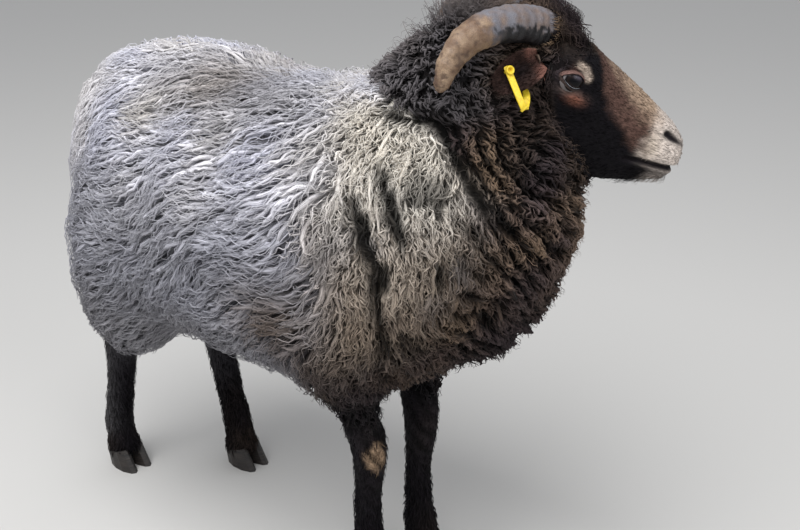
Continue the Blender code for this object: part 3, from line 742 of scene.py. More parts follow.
short = np.maximum(face_share(skin_points), leg_share(skin_points))
# painted shade: the skin that shows between the locks is darkened, most under the dark neck wool
under_wool_shade = mix(np.array(0.95), np.array(0.25), dark_share(skin_points))
skin_tint = tint_of(skin_points) * (under_wool_shade + (1 - under_wool_shade) * short[..., None])
# painted shade: the skin is darkened further at the bottom of the partings
skin_tint = skin_tint * (1 - 0.95 * crease_share(skin_points))[:, None]
ears_from = len(skin_body) + len(skin_head)
skin_tint[ears_from:] = ear_tint(skin_points[ears_from:])
hide = mesh_object("hide", skin_points, skin_triangles, hide_material(), skin_tint)
bpy.context.view_layer.objects.active = hide
hide.select_set(True)
bpy.ops.object.mode_set(mode="EDIT")
bpy.ops.mesh.select_all(action="SELECT")
bpy.ops.uv.smart_project(angle_limit=math.radians(66), island_margin=0.001)
bpy.ops.object.mode_set(mode="OBJECT")
hide.data.uv_layers[0].name = "OFBake"
unwrap = np.empty(len(skin_triangles) * 6, np.float32)
hide.data.uv_layers["OFBake"].data.foreach_get("uv", unwrap)
unwrap = unwrap.reshape(-1, 3, 2)
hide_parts(*flesh, "ear_right", "ear_left")
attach(hide, "root")


# ---------------------------------------------------------------- eyes
# A dark wet ball with a wide slot pupil sits in each socket. The lids are soft folds of
# skin with a crisp dark rim: each is a ring of skin that hugs the ball, folds and runs
# out into the face, and a thin line of tears lies along the lower rim.
EYE_RADIUS = 0.0118
EYE_CENTRE = np.array([0.001, 0.0335, 0.0])
EYE_AIM = np.array([0.30, 0.95, 0.04])
LID_ROWS, LID_SIDES = 40, 96
LID_THICK = 0.0009
TEAR_STEPS, TEAR_SIDES, TEAR_RADIUS = 48, 10, 0.00045
IRIS = np.array([0.010, 0.006, 0.005])
IRIS_REFLECTION = np.array([0.085, 0.075, 0.095])
PUPIL = np.array([0.002, 0.002, 0.003])
WHITE_OF_EYE = np.array([0.20, 0.18, 0.18])
LID_RIM = np.array([0.010, 0.008, 0.010])


def eye_axes(side):
    """Columns, in the head's frame: forward along the opening, up across it, and out
    along the eye's aim."""
    out = unit(sided(EYE_AIM, side))
    forward = np.array([1.0, 0, -0.06])
    forward = unit(forward - out * (out @ forward))
    up = np.cross(out, forward)
    return np.stack([forward, up * np.sign(up[2]), out], -1)


def from_eye(p, side):
    """Points of an eye's own axes, placed in the model."""
    return from_head(sided(EYE_CENTRE, side) + p @ eye_axes(side).T)


def eyeball(rows=56, sides=72):
    """Rings of a ball from its back to the middle of the pupil, with the clear front
    bulging by a share exp(-r*r) of the angle from the aim."""
    lean = np.linspace(0.995, 0.004, rows)[:, None] * math.pi
    turn = circle(sides)[None]
    reach = EYE_RADIUS * (1 + 0.045 * bell(lean, 0.55))
    return np.stack([reach * np.sin(lean) * np.cos(turn), reach * np.sin(lean) * np.sin(turn),
                     reach * np.cos(lean) + 0 * turn], -1)


def eye_opening(turn):
    """Rim of the lids seen along the aim: an almond, fuller above, whose front corner is
    drawn forward and down to the tear duct."""
    across = np.cos(turn)
    ahead = np.clip(across, 0, 1)
    high = np.where(np.sin(turn) > 0, 0.0060, 0.0055)
    return (0.0106 * across + 0.0012 * ahead ** 6,
            high * np.sin(turn) * (1 - 0.30 * across ** 2) - 0.0011 * ahead ** 3)


def socket_height(u, v, side):
    """How far out along the aim the face's skin lies at places across the eye: the mean
    of the skin's points weighted by 1 / distance to the fourth."""
    q = (skull_rings.reshape(-1, 3) - sided(EYE_CENTRE, side)) @ eye_axes(side)
    q = q[(q[:, 2] > 0) & (np.abs(q[:, 0]) < 0.028) & (np.abs(q[:, 1]) < 0.026)]
    gap = (u[..., None] - q[:, 0]) ** 2 + (v[..., None] - q[:, 1]) ** 2
    weight = 1 / (gap + 4e-7) ** 2
    return (weight * q[:, 2]).sum(-1) / weight.sum(-1)


def lid_ring(side):
    """Rows from inside the rim, over its round edge, out over the ball, through a fold
    and down under the face's skin, then back under themselves by the lid's thickness."""
    turn = circle(LID_SIDES)[None]
    t = np.linspace(0, 1, LID_ROWS)[:, None]
    u0, v0 = eye_opening(turn)
    spread = step(0.08, 1.0, t)
    u, v = u0 * (1 + 0.62 * spread), v0 * (1 + 1.45 * spread)
    reach = u ** 2 + v ** 2
    ball = np.sqrt((EYE_RADIUS * 1.02) ** 2 - np.minimum(reach, 0.000120))
    upper = v0 > 0
    rise = np.where(upper, 0.0017, 0.0012) * np.sin(0.5 * math.pi * np.clip(t / 0.14, 0, 1))
    w = ball - 0.0006 + rise
    w = w + (socket_height(u, v, side) - w) * step(0.20, 0.90, t)
    w = w - bell(t - 0.50, 0.055) * np.where(upper, 0.0014, 0.0007)
    w = w + bell(t - 0.33, 0.10) * np.where(upper, 0.0010, 0.0005)
    w = w - 0.0035 * step(0.88, 1.0, t)
    top = np.stack([u, v, w], -1)
    return np.concatenate([top, top[::-1] - np.array([0, 0, LID_THICK])])


def eye_tint(local):
    """Iris with faint spokes and a painted reflection over its upper part, a dark ring round it
    and a pupil wider than it is high; greyish white outside."""
    radius = np.linalg.norm(local[:, :2], axis=1)
    slot_pupil = np.sqrt((local[:, 0] / 0.0058) ** 2 + (local[:, 1] / 0.0030) ** 2)
    spokes = 0.8 + 0.4 * np.sin(24 * np.arctan2(local[:, 1], local[:, 0])) ** 2
    tint = mix(IRIS * spokes[:, None], PUPIL, step(1.25, 0.85, slot_pupil))
    # painted reflection: a pale bluish patch over the upper iris
    tint = mix(tint, IRIS_REFLECTION, bump(local[:, :2], (0.0008, 0.0052), (0.0048, 0.0022)))
    tint = mix(tint, PUPIL, bell(radius - 0.0084, 0.0007))
    return mix(tint, WHITE_OF_EYE, np.maximum(step(0.0086, 0.0093, radius), local[:, 2] < 0))


def tear_rings():
    """Thin tube that lies on the ball along the lower rim, fattest half way."""
    u, v = eye_opening(np.linspace(math.pi * 1.20, math.pi * 1.88, TEAR_STEPS))
    u, v = u * 0.955, v * 0.91
    line = np.stack([u, v, np.sqrt((EYE_RADIUS * 1.008) ** 2 - u ** 2 - v ** 2)], -1)
    run, up = unit(np.gradient(line, axis=0)), unit(line)
    arc = circle(TEAR_SIDES)[None, :, None]
    fat = TEAR_RADIUS * np.sin(np.linspace(0.05, math.pi - 0.05, TEAR_STEPS))[:, None, None]
    return line[:, None] + fat * (np.cos(arc) * np.cross(run, up)[:, None]
                                  + 0.6 * np.sin(arc) * up[:, None])


wet_eye, eye_tree, eye_shader = new_material("wet_eye", 0.3, 0.0, 0.03)
plug(eye_shader, {"Coat Weight": 0.22, "Coat Roughness": 0.03, "Base Color": painted(eye_tree, "tint")})
tear_film, tear_tree, tear_shader = new_material("tear_film", 0.06)
ripple = add(tear_tree, "TexNoise", {"Scale": 700.0})
plug(tear_shader, {"Base Color": (0.26, 0.27, 0.30, 1), "Coat Weight": 1.0,
                   "Normal": bumped(tear_tree, ripple, 0.0002)})

for label, side in SIDES.items():
    rings = eyeball()
    local = with_centres(rings)
    ball = mesh_object(f"eyeball_{label}", from_eye(local, side),
                       ring_triangles(*rings.shape[:2])[:, ::-side], wet_eye, eye_tint(local))
    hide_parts(f"eye_{label}")
    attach(ball, "root")

    ring = lid_ring(side)
    placed = from_eye(ring, side).reshape(-1, 3)
    t = np.repeat(np.append(np.linspace(0, 1, LID_ROWS), np.linspace(1, 0, LID_ROWS)), LID_SIDES)
    lid_skin = np.where(ring[..., 1].reshape(-1, 1) > 0, LID_PINK, LID_GREY * 0.6)
    tint = mix(np.broadcast_to(LID_RIM, placed.shape), lid_skin, step(0.20, 0.28, t))
    lids = mesh_object(f"eyelids_{label}", placed, ring_cells(*ring.shape[:2], wrapped=True)[:, ::side],
                       hide.data.materials[0], mix(tint, tint_of(placed), step(0.40, 0.58, t)))
    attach(lids, "root")

    tears = mesh_object(f"tear_line_{label}", from_eye(with_centres(tear_rings()), side),
                        ring_triangles(TEAR_STEPS, TEAR_SIDES)[:, ::side], tear_film)
    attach(tears, "root")


# ---------------------------------------------------------------- horns
# Short thick horns that leave the poll, arch back and out and turn down. They are grey
# and hairy at the base, with painted shade on its underside, mottled tan horn with faint
# growth rings beyond, and blunt.
HORN_LINE = np.array([
    # along the head, out from its middle, up; half width across and through the arch
    (-0.018, 0.012, 0.0280, 0.0125, 0.0140),
    (-0.034, 0.022, 0.0295, 0.0140, 0.0155),
    (-0.053, 0.034, 0.0275, 0.0140, 0.0158),
    (-0.074, 0.048, 0.0205, 0.0136, 0.0152),
    (-0.090, 0.060, 0.0090, 0.0126, 0.0142),
    (-0.100, 0.070, -0.0060, 0.0110, 0.0124),
    (-0.1035, 0.077, -0.0230, 0.0088, 0.0098),
    (-0.1030, 0.080, -0.0360, 0.0062, 0.0068),
    (-0.1025, 0.0805, -0.0430, 0.0028, 0.0030),
])
HORN_STEPS, HORN_SIDES = 190, 56
HORN_GREY = np.array([0.150, 0.148, 0.170])
HORN_TAN = np.array([0.165, 0.098, 0.058])
HORN_PALE = np.array([0.28, 0.190, 0.120])
HORN_BROWN = np.array([0.060, 0.030, 0.019])


def smooth_line(knots, steps, rounds):
    """Curve through the rows of knots, evened out by a few rounds of averaging."""
    line = through(np.linspace(0, 1, len(knots)), knots, np.linspace(0, 1, steps))
    for _ in range(rounds):
        line[1:-1] = 0.25 * line[:-2] + 0.5 * line[1:-1] + 0.25 * line[2:]
    return line


def horn_rings(side):
    """Rings across the horn's curved line, flattened circles that shrink to a rounded
    tip, raised by growth rings and pitted by noise. The left horn is set a little higher."""
    t = np.linspace(0, 1, HORN_STEPS)
    row = smooth_line(HORN_LINE, HORN_STEPS, 6)
    line = sided(row[:, :3], side)
    line[:, 2] += 0.004 * (1 + side) * step(0.05, 0.35, t)
    run = unit(np.gradient(line, axis=0))
    across = np.array([0.55, side * 0.80, 0.25])
    wide = unit(across - run * (run @ across)[:, None])
    deep = np.cross(run, wide)
    turn = circle(HORN_SIDES)
    blunt = np.sqrt(np.clip(1 - ((t - 0.962) / 0.0385).clip(0) ** 2, 0, 1))
    blunt = (blunt * (0.55 + 0.45 * step(0, 0.14, t)))[:, None]
    growth = np.sin(2 * math.pi * (24 * t + 1.1 * np.sin(5 * t)))
    ridge = 0.00026 * np.sign(growth) * np.abs(growth) ** 0.6 * (1 - 0.6 * t) + 0.00030 * np.sin(44 * t)
    across_ring = wide[:, None] * np.cos(turn)[:, None]
    through_ring = deep[:, None] * np.sin(turn)[:, None]
    p = line[:, None] + (across_ring * row[:, 3][:, None, None]
                         + through_ring * row[:, 4][:, None, None]) * blunt[..., None]
    pitted = 0.00045 * noise(p, 0.006, 71) + 0.00022 * noise(p, 0.0020, 72)
    return p + (across_ring + through_ring) * ((ridge[:, None] + pitted) * blunt)[..., None]


def horn_tint(p, t):
    """Grey with dark hair streaks, and painted shade on its underside, up to about two fifths
    of the length, then tan with pale and brown blotches."""
    blotch = noise(p, 0.007, 73) + 0.6 * noise(p, 0.003, 74)
    tint = mix(np.broadcast_to(HORN_TAN, p.shape), HORN_PALE, np.clip(0.30 + 0.9 * blotch, 0, 1))
    worn = noise(p, 0.009, 75) + 0.6 * noise(p, 0.0022, 76)
    tint = mix(tint, HORN_BROWN, 0.75 * step(0.15, 0.85, worn))
    grey = mix(np.broadcast_to(HORN_GREY, p.shape), HORN_TAN, np.clip(0.25 + 0.45 * blotch, 0, 0.6))
    tint = mix(tint, grey, step(0.50, 0.41, t + 0.03 * blotch))
    streak = noise(p, 0.0026, 77) + 0.5 * noise(p, 0.0012, 78)
    # painted shade: the downward-facing side of the base is blackened along with the hair streaks
    lower = step(0.35, -0.45, ring_normals(p[:-2].reshape(HORN_STEPS, HORN_SIDES, 3))[..., 2]).ravel()
    lower = np.append(lower, (0, 0))
    hair_and_underside_shade = step(-0.2, 0.5, streak + 2.2 * lower - 0.9) * step(0.47, 0.38, t + 0.03 * blotch)
    return mix(tint, SOOT, hair_and_underside_shade)


keratin, horn_tree, horn_shader = new_material("horn_keratin", 0.44)
horn_grain = add(horn_tree, "TexNoise", {"Vector": object_place(horn_tree), "Scale": 950.0,
                                         "Detail": 3.0})
horn_spread = add(horn_tree, "MapRange", {"Value": horn_grain, "To Min": 0.5, "To Max": 1.5})
plug(horn_shader, {"Base Color": times(horn_tree, painted(horn_tree, "tint"), horn_spread),
                   "Normal": bumped(horn_tree, horn_grain, 0.0006)})

for label, side in SIDES.items():
    placed = from_head(with_centres(horn_rings(side)))
    t = np.append(np.repeat(np.linspace(0, 1, HORN_STEPS), HORN_SIDES), (0, 1))
    horn = mesh_object(f"horn_{label}_ridged", placed, ring_triangles(HORN_STEPS, HORN_SIDES),
                       keratin, horn_tint(placed, t))
    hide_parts(f"horn_{label}")
    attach(horn, "root")


# ---------------------------------------------------------------- ear tag
# A moulded yellow strap folded round the lower edge of the right ear, thicker across the
# fold. One leaf lies on the ear's open face and the other behind it, and a pin with a
# round head goes through both and the ear.
TAG_PATH = np.array([
    # along the ear, down across it, out of its face
    (0.0335, -0.0095, -0.0042), (0.0330, -0.0020, -0.0048), (0.0270, 0.0080, -0.0046),
    (0.0240, 0.0160, -0.0026), (0.0275, 0.0215, 0.0010), (0.0330, 0.0262, 0.0040),
    (0.0378, 0.0284, 0.0066), (0.0392, 0.0262, 0.0092), (0.0390, 0.0212, 0.0098),
    (0.0370, 0.0092, 0.0088), (0.0340, -0.0035, 0.0062), (0.0322, -0.0095, 0.0044)])
TAG_THICK = 0.0017
TAG_HALF_WIDTH = 0.0036
TAG_PIN = np.array([0.0333, -0.0054])
TAG_PIN_PROFILE = np.array([
    # radius, height out of the ear's face
    (0.0002, -0.0084), (0.0030, -0.0084), (0.0035, -0.0079), (0.0035, -0.0068), (0.0031, -0.0063),
    (0.0017, -0.0062), (0.0016, -0.0050), (0.0016, 0.0060), (0.0017, 0.0070), (0.0031, 0.0072),
    (0.0038, 0.0077), (0.0038, 0.0091), (0.0034, 0.0097), (0.0025, 0.0097), (0.0021, 0.0092),
    (0.0020, 0.0058), (0.0002, 0.0056)])
TAG_STEPS, TAG_RING = 150, 28


def tag_strap():
    """Superellipse profile carried along the smoothed path: wide across the strap, thin
    through it, narrowed at the fold, with two thicker ribs and both ends rounded off."""
    t = np.linspace(0, 1, TAG_STEPS)
    line = smooth_line(TAG_PATH, TAG_STEPS, 14)
    run = unit(np.gradient(line, axis=0))
    wide = np.array([1.0, 0.10, 0.0])
    wide = unit(wide - run * (run @ wide)[:, None])
    face = np.cross(run, wide)
    turn = circle(TAG_RING)
    flat = (np.abs(np.cos(turn)) ** 5 + np.abs(np.sin(turn)) ** 5) ** -0.2
    ends = np.sqrt(np.clip(1 - (np.abs(2 * t - 1) - 0.955).clip(0) ** 2 / 0.00205, 0, 1))
    rib = bell(t - 0.515, 0.012) + bell(t - 0.60, 0.010)
    half = TAG_HALF_WIDTH * (0.82 + 0.18 * step(0.28, 0.06, t) + 0.12 * rib) * ends
    thick = TAG_THICK / 2 * (1 + 0.75 * rib) * (0.4 + 0.6 * ends)
    return (line[:, None] + wide[:, None] * (half[:, None] * np.cos(turn) * flat)[..., None]
            + face[:, None] * (thick[:, None] * np.sin(turn) * flat)[..., None])


def turned(profile, centre, sides=40):
    """Profile of radius and height turned round the line out of the ear's face."""
    turn, radius, height = circle(sides), profile[:, :1], profile[:, 1:]
    return np.stack([centre[0] + radius * np.cos(turn), centre[1] + radius * np.sin(turn),
                     np.broadcast_to(height, (len(profile), sides))], -1)


tag_plastic, tag_tree, tag_shader = new_material("tag_plastic", 0.38)
tag_scuff = add(tag_tree, "TexNoise", {"Vector": object_place(tag_tree), "Scale": 420.0, "Detail": 4.0})
tag_colour = two_tone(tag_tree, tag_scuff, 0.36, (0.70, 0.49, 0.025), 0.52, (0.86, 0.64, 0.035))
plug(tag_shader, {"Base Color": tag_colour, "Normal": bumped(tag_tree, tag_scuff, 0.0002)})

ear_axes, ear_root = ear_frame("right")
strap = mesh_object("ear_tag_strap", with_centres(tag_strap()) @ ear_axes.T + ear_root,
                    ring_triangles(TAG_STEPS, TAG_RING), tag_plastic)
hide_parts("ear_tag")
pin_rings = turned(TAG_PIN_PROFILE, TAG_PIN)
pin = mesh_object("ear_tag_stud", with_centres(pin_rings) @ ear_axes.T + ear_root,
                  ring_triangles(*pin_rings.shape[:2]), tag_plastic)
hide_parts("ear_tag_pin")
for piece in (strap, pin):
    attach(piece, "root")


# ---------------------------------------------------------------- hooves
# Eight short dark claws, two to a foot, flat below and worn along the edge. Their solids
# stay as they are and get a horn of their own, ringed across.
claw_horn, claw_tree, claw_shader = new_material("claw_horn", 0.5)
claw_stretch = add(claw_tree, "Mapping", {"Vector": object_place(claw_tree),
                                          "Scale": (60.0, 60.0, 900.0)})
claw_grain = add(claw_tree, "TexNoise", {"Vector": claw_stretch, "Scale": 1.0, "Detail": 3.0})
claw_colour = two_tone(claw_tree, claw_grain, 0.35, (0.006, 0.005, 0.005), 0.75, (0.042, 0.033, 0.028))
plug(claw_shader, {"Base Color": claw_colour, "Normal": bumped(claw_tree, claw_grain, 0.0006)})
for name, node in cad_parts.items():
    if name.startswith("hoof_"):
        for slot in node.material_slots:
            slot.material = claw_horn


# ---------------------------------------------------------------- wool
# Every lock is a thin closed three-sided tube that grows out of the skin, rises to its
# layer of the coat and lies along it, waved by its crimp and drawn to a point. Each takes
# its tint from where it lies, with painted shade inside the partings and towards its root.
skin_corners = skin_points[skin_triangles]
skin_centres = skin_corners.mean(1)
skin_areas = np.linalg.norm(np.cross(skin_corners[:, 1] - skin_corners[:, 0],
                                     skin_corners[:, 2] - skin_corners[:, 0]), axis=1) / 2
skin_normals = np.empty(len(skin_points) * 3, np.float32)
hide.data.vertex_normals.foreach_get("vector", skin_normals)
skin_normals = skin_normals.reshape(-1, 3).astype(float)
OFBAKE_PATCH = 0.003
PIECE_TRIANGLES = 185000


def scatter(density, rng):
    """Roots spread over the skin, density of them to a square metre: evenly spaced
    shares of the running total over the triangles, each at a random place inside its
    triangle. Gives point, normal and place on the unwrap."""
    total = np.cumsum(skin_areas * density)
    count = int(total[-1])
    share = (np.arange(count) + rng.random(count)) * total[-1] / count
    t = np.minimum(np.searchsorted(total, share), len(total) - 1)
    a, b = rng.random((2, count, 1))
    flip = a + b > 1
    a, b = np.where(flip, 1 - a, a), np.where(flip, 1 - b, b)
    weights = np.stack([1 - a - b, a, b], 1)
    corners = skin_triangles[t]
    return ((skin_corners[t] * weights).sum(1), unit((skin_normals[corners] * weights).sum(1)),
            (unwrap[t] * weights).sum(1))


def tubes(name, path, up, width, thick, roots, tint, material, rng):
    """Joined tubes along the paths (lock, step, xyz). Each ring is a triangle, wide
    across the lock and thick along up; the last point closes it. Tint holds one colour
    for each lock or each of its steps, strand holds (share along, place across, chance),
    and OFBake is a small patch at the root's place on the skin's unwrap. Split into
    pieces of at most about PIECE_TRIANGLES triangles. Split into pieces under the limit."""
    count, steps = path.shape[0], path.shape[1] - 1
    run = unit(np.gradient(path, axis=1))
    up = unit(up - run * dot(up, run))
    side = np.cross(run, up)
    turn = np.radians([90, 210, 330])
    ring = (path[:, :-1, None] + side[:, :-1, None] * np.cos(turn)[:, None] * width[:, :-1, None, None]
            + up[:, :-1, None] * np.sin(turn)[:, None] * thick[:, :-1, None, None])
    points = np.concatenate([ring.reshape(count, -1, 3), path[:, -1:]], 1)
    each, last = 3 * steps + 1, 3 * (steps - 1)
    tip = [[last + c, each - 1, last + (c + 1) % 3] for c in range(3)]
    pattern = np.concatenate([ring_cells(steps, 3)[:, ::-1], [[0, 1, 2]], tip])
    along = np.append(np.repeat(np.arange(steps) / steps, 3), 1.0)
    across = np.append(np.tile([0.5, 0.0, 1.0], steps), 0.5)
    chance = rng.random(count)
    if tint.ndim == 2:
        tint = np.repeat(tint[:, None], steps + 1, 1)
    colours = np.concatenate([np.repeat(tint[:, :-1], 3, 1), tint[:, -1:]], 1)
    pieces = math.ceil(count * len(pattern) / PIECE_TRIANGLES)
    for number, members in enumerate(np.array_split(np.arange(count), pieces)):
        n = len(members)
        faces = (pattern[None] + each * np.arange(n)[:, None, None]).reshape(-1, 3)
        piece = mesh_object(f"{name}_{number + 1}", points[members].reshape(-1, 3), faces, material,
                            colours[members].reshape(-1, 3))
        strand = np.stack([np.tile(along, n), np.tile(across, n), np.repeat(chance[members], each)], -1)
        paint(piece, "strand", strand)
        spot = np.repeat(roots[members], each, 0) + OFBAKE_PATCH * (strand[:, :2] - 0.5)
        layer = piece.data.uv_layers.new(name="OFBake")
        layer.data.foreach_set("uv", spot[faces.ravel()].astype(np.float32).ravel())
        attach(piece, "root")


def wool_material(name, root_shade, contrast, roughness, sheen):
    """Wool: the tint, darkened towards the root by painted shade, varied from lock to lock and streaked
    by its fibres, which the bump raises too."""
    material, tree, shader = new_material(name, roughness, sheen, 0.08)
    strand = painted(tree, "strand").outputs["Vector"]
    parts = add(tree, "SeparateXYZ", {0: strand}).outputs
    # painted shade: the tint darkens towards the root of each lock
    depth = add(tree, "MapRange", {"Value": parts["X"], "From Min": 0.05, "From Max": 0.60,
                                   "To Min": root_shade}, interpolation_type="SMOOTHSTEP")
    own = add(tree, "MapRange", {"Value": parts["Z"], "To Min": 0.85, "To Max": 1.13})
    streaks = add(tree, "Group", {"Strand": strand, "Contrast": contrast}, node_tree=fibres).outputs
    colour = painted(tree, "tint")
    for factor in (depth, own, streaks["Factor"]):
        colour = times(tree, colour, factor)
    plug(shader, {"Base Color": colour, "Normal": bumped(tree, streaks["Height"], 0.0004, 0.6)})
    return material


def grow(root, way, out, length, steps, rest, quick, follow, hang):
    """Paths of locks: each step goes on along the way, turned with the surface and partly
    towards the lie of the coat there, and is held at a depth that eases from the root's
    to the lock's rest; quick is the share of the length that this takes. Towards the tip
    the share hang of each step falls straight down instead."""
    path = np.empty((len(root), steps + 1, 3))
    ups = np.empty_like(path)
    path[:, 0] = root
    start, ups[:, 0] = sample_field(root)
    spin = np.arcsin(np.clip(dot(np.cross(lie_of_coat(root, out), way), out), -1, 1))
    stride = (length / steps)[:, None]
    for i in range(1, steps + 1):
        here, up = path[:, i - 1], ups[:, i - 1]
        lie = lie_of_coat(here, up)
        lie = lie * np.cos(spin) + np.cross(up, lie) * np.sin(spin)
        way = way + follow * (lie - way)
        way = unit(way - up * dot(way, up))
        there = here + way * stride
        depth, up = sample_field(there)
        share = step(0, 1, np.minimum(i / steps / quick, 1))
        goal = start + (rest(there) - start) * share
        there = there + up * (depth - goal)[:, None]
        fallen = here + stride * (0.25 * way + np.array([0, 0, -0.95]))
        path[:, i], ups[:, i] = there + hang * step(0.35, 1.0, i / steps) * (fallen - there), up
    return path, ups


def crimp(path, ups, size, wave, phase, lift=0.6):
    """Adds the wool's wave: sideways by size * sin, up by a part of size * cos, along
    the length run so far, starting from nothing at the root."""
    run = unit(np.gradient(path, axis=1))
    side = np.cross(run, ups)
    gone = np.cumsum(np.linalg.norm(np.diff(path, axis=1, prepend=path[:, :1]), axis=2), 1)
    grown = size[:, None] * step(0.08, 0.35, np.linspace(0, 1, path.shape[1]))[None]
    angle = 2 * math.pi * gone / wave[:, None] + phase[:, None]
    return (path + side * (grown * np.sin(angle))[..., None]
            + ups * (lift * grown * np.cos(angle))[..., None])


def gather(path, root, spacing, strength, rng):
    """Draws locks into clumps: each is pulled towards the nearest of a thinned-out set of
    locks, more and more along its length, and keeps a share of its own place."""
    guides = rng.permutation(len(root))[:max(1, int(len(root) * spacing))]
    nearest_guide = np.empty(len(root), int)
    for part in np.array_split(np.arange(len(root)), max(1, len(root) // 500)):
        gap = ((root[part, None] - root[guides][None]) ** 2).sum(-1)
        nearest_guide[part] = guides[gap.argmin(1)]
    pull = strength * np.linspace(0, 1, path.shape[1])[None, :, None] ** 1.4
    return path + pull * (path[nearest_guide] - path), nearest_guide


def taper(steps, full, tip=0.25):
    """Half width at each step: full for most of the length, drawn down to the tip."""
    t = np.linspace(0, 1, steps + 1)
    return full[:, None] * (1 - (1 - tip) * t ** 3)[None]


def relief(p):
    """How far the coat's surface lies under the form: partings, lumps and soft waves."""
    return 0.0125 * crease_share(p) + 0.0022 * noise(p, 0.020, 65) + 0.0022


head_places = in_head(skin_centres)
along, aside, above = head_places.T
top_line, jaw_line, half_width, widest = (
    np.interp(along, HEAD_OUTLINE[:, 0], HEAD_OUTLINE[:, i]) for i in range(1, 5))
high = (above - widest) / np.where(above > widest, top_line - widest, widest - jaw_line)
under_head = step(1.0, 0.92, np.hypot(high, aside / half_width)) * (along > -0.056)
parted = crease_share(skin_centres)
in_view = np.where(skin_region == 0, 1 - under_head, (skin_region == 1) * step(-0.056, -0.050, along))


def grow_wool(name, slot, seed, density, length, half_width, layer, wave, size, steps, thick_share,
              quick, lean, guides, pull, root_shade, contrast, tint_gain, follow, hang):
    """One kind of wool over the skin, from its row of the table below."""
    rng = np.random.default_rng(seed)
    root, out, spot = scatter(density(skin_centres) * in_view * (1 - 0.96 * parted), rng)
    count = len(root)

    def between(pair):
        return pair[0] + (pair[1] - pair[0]) * rng.random(count)
    way = lie_of_coat(root, out)
    turn = lean * rng.standard_normal((count, 1))
    way = way * np.cos(turn) + np.cross(out, way) * np.sin(turn)
    own_layer = between(layer)
    path, ups = grow(root, way, out, between(length), steps,
                     lambda q: own_layer + relief(q), quick, follow, hang)
    path, guide = gather(path, root, guides, pull, rng)
    phase = rng.random(count) * 2 * math.pi
    shared = 0.8 * phase[guide] + 0.2 * phase
    path = crimp(path, ups, between(size), between(wave), shared)
    width = taper(steps, between(half_width))
    tint = tint_of(path[:, steps // 2]) * tint_gain
    # painted shade: each step of a lock is darkened where it runs into a parting
    tint = tint[:, None] * (1 - 0.93 * crease_share(path))[..., None]
    material = wool_material(name, root_shade, contrast, 0.8, 0.05)
    tubes(name, path, ups, width, width * thick_share, spot, tint, material, rng)


def woolly(p):
    """Share of full wool at p: none on the face and the lower legs."""
    return (1 - face_share(p)) * (1 - leg_share(p))


def silver_density(p):
    """Share of the long silver fleece: all of the trunk but the beige shoulder."""
    return woolly(p) * (1 - dark_share(p)) * (1 - 0.5 * shoulder_share(p))


def poll_share(p):
    """1 on the crown of the head between and behind the horns and over the forehead."""
    ahead, aside, above = np.moveaxis(in_head(p), -1, 0)
    low = 0.016 + 0.10 * np.abs(aside)
    return step(low, low + 0.012, above) * step(0.034, 0.014, ahead) * step(-0.16, -0.10, ahead)


def crown(p):
    """1 on top of the head between the horns, fading down its sides and its front."""
    h = in_head(p)
    return step(0.040, 0.030, np.abs(h[..., 1])) * step(0.014, -0.008, h[..., 0])


def brisket_share(p):
    """1 low on the front of the chest, between and before the fore legs."""
    return step(0.02, 0.06, neck_station(p)) * step(0.315, 0.285, p[..., 2]) * (1 - leg_share(p))


def stifle_share(p):
    """1 where wool runs out over the elbows and thighs above the bare legs."""
    near = sum(near_leg(p, place, 0.075, 0.06, 4) for place in LEG_PLACES)
    return np.clip(near, 0, 1) * step(0.345, 0.30, p[..., 2]) * step(0.165, 0.20, p[..., 2])


def beige_density(p):
    """Share of the shoulder's short matted wool, thinner where the silver begins."""
    return woolly(p) * shoulder_share(p) ** 1.5 * (1 - dark_share(p))


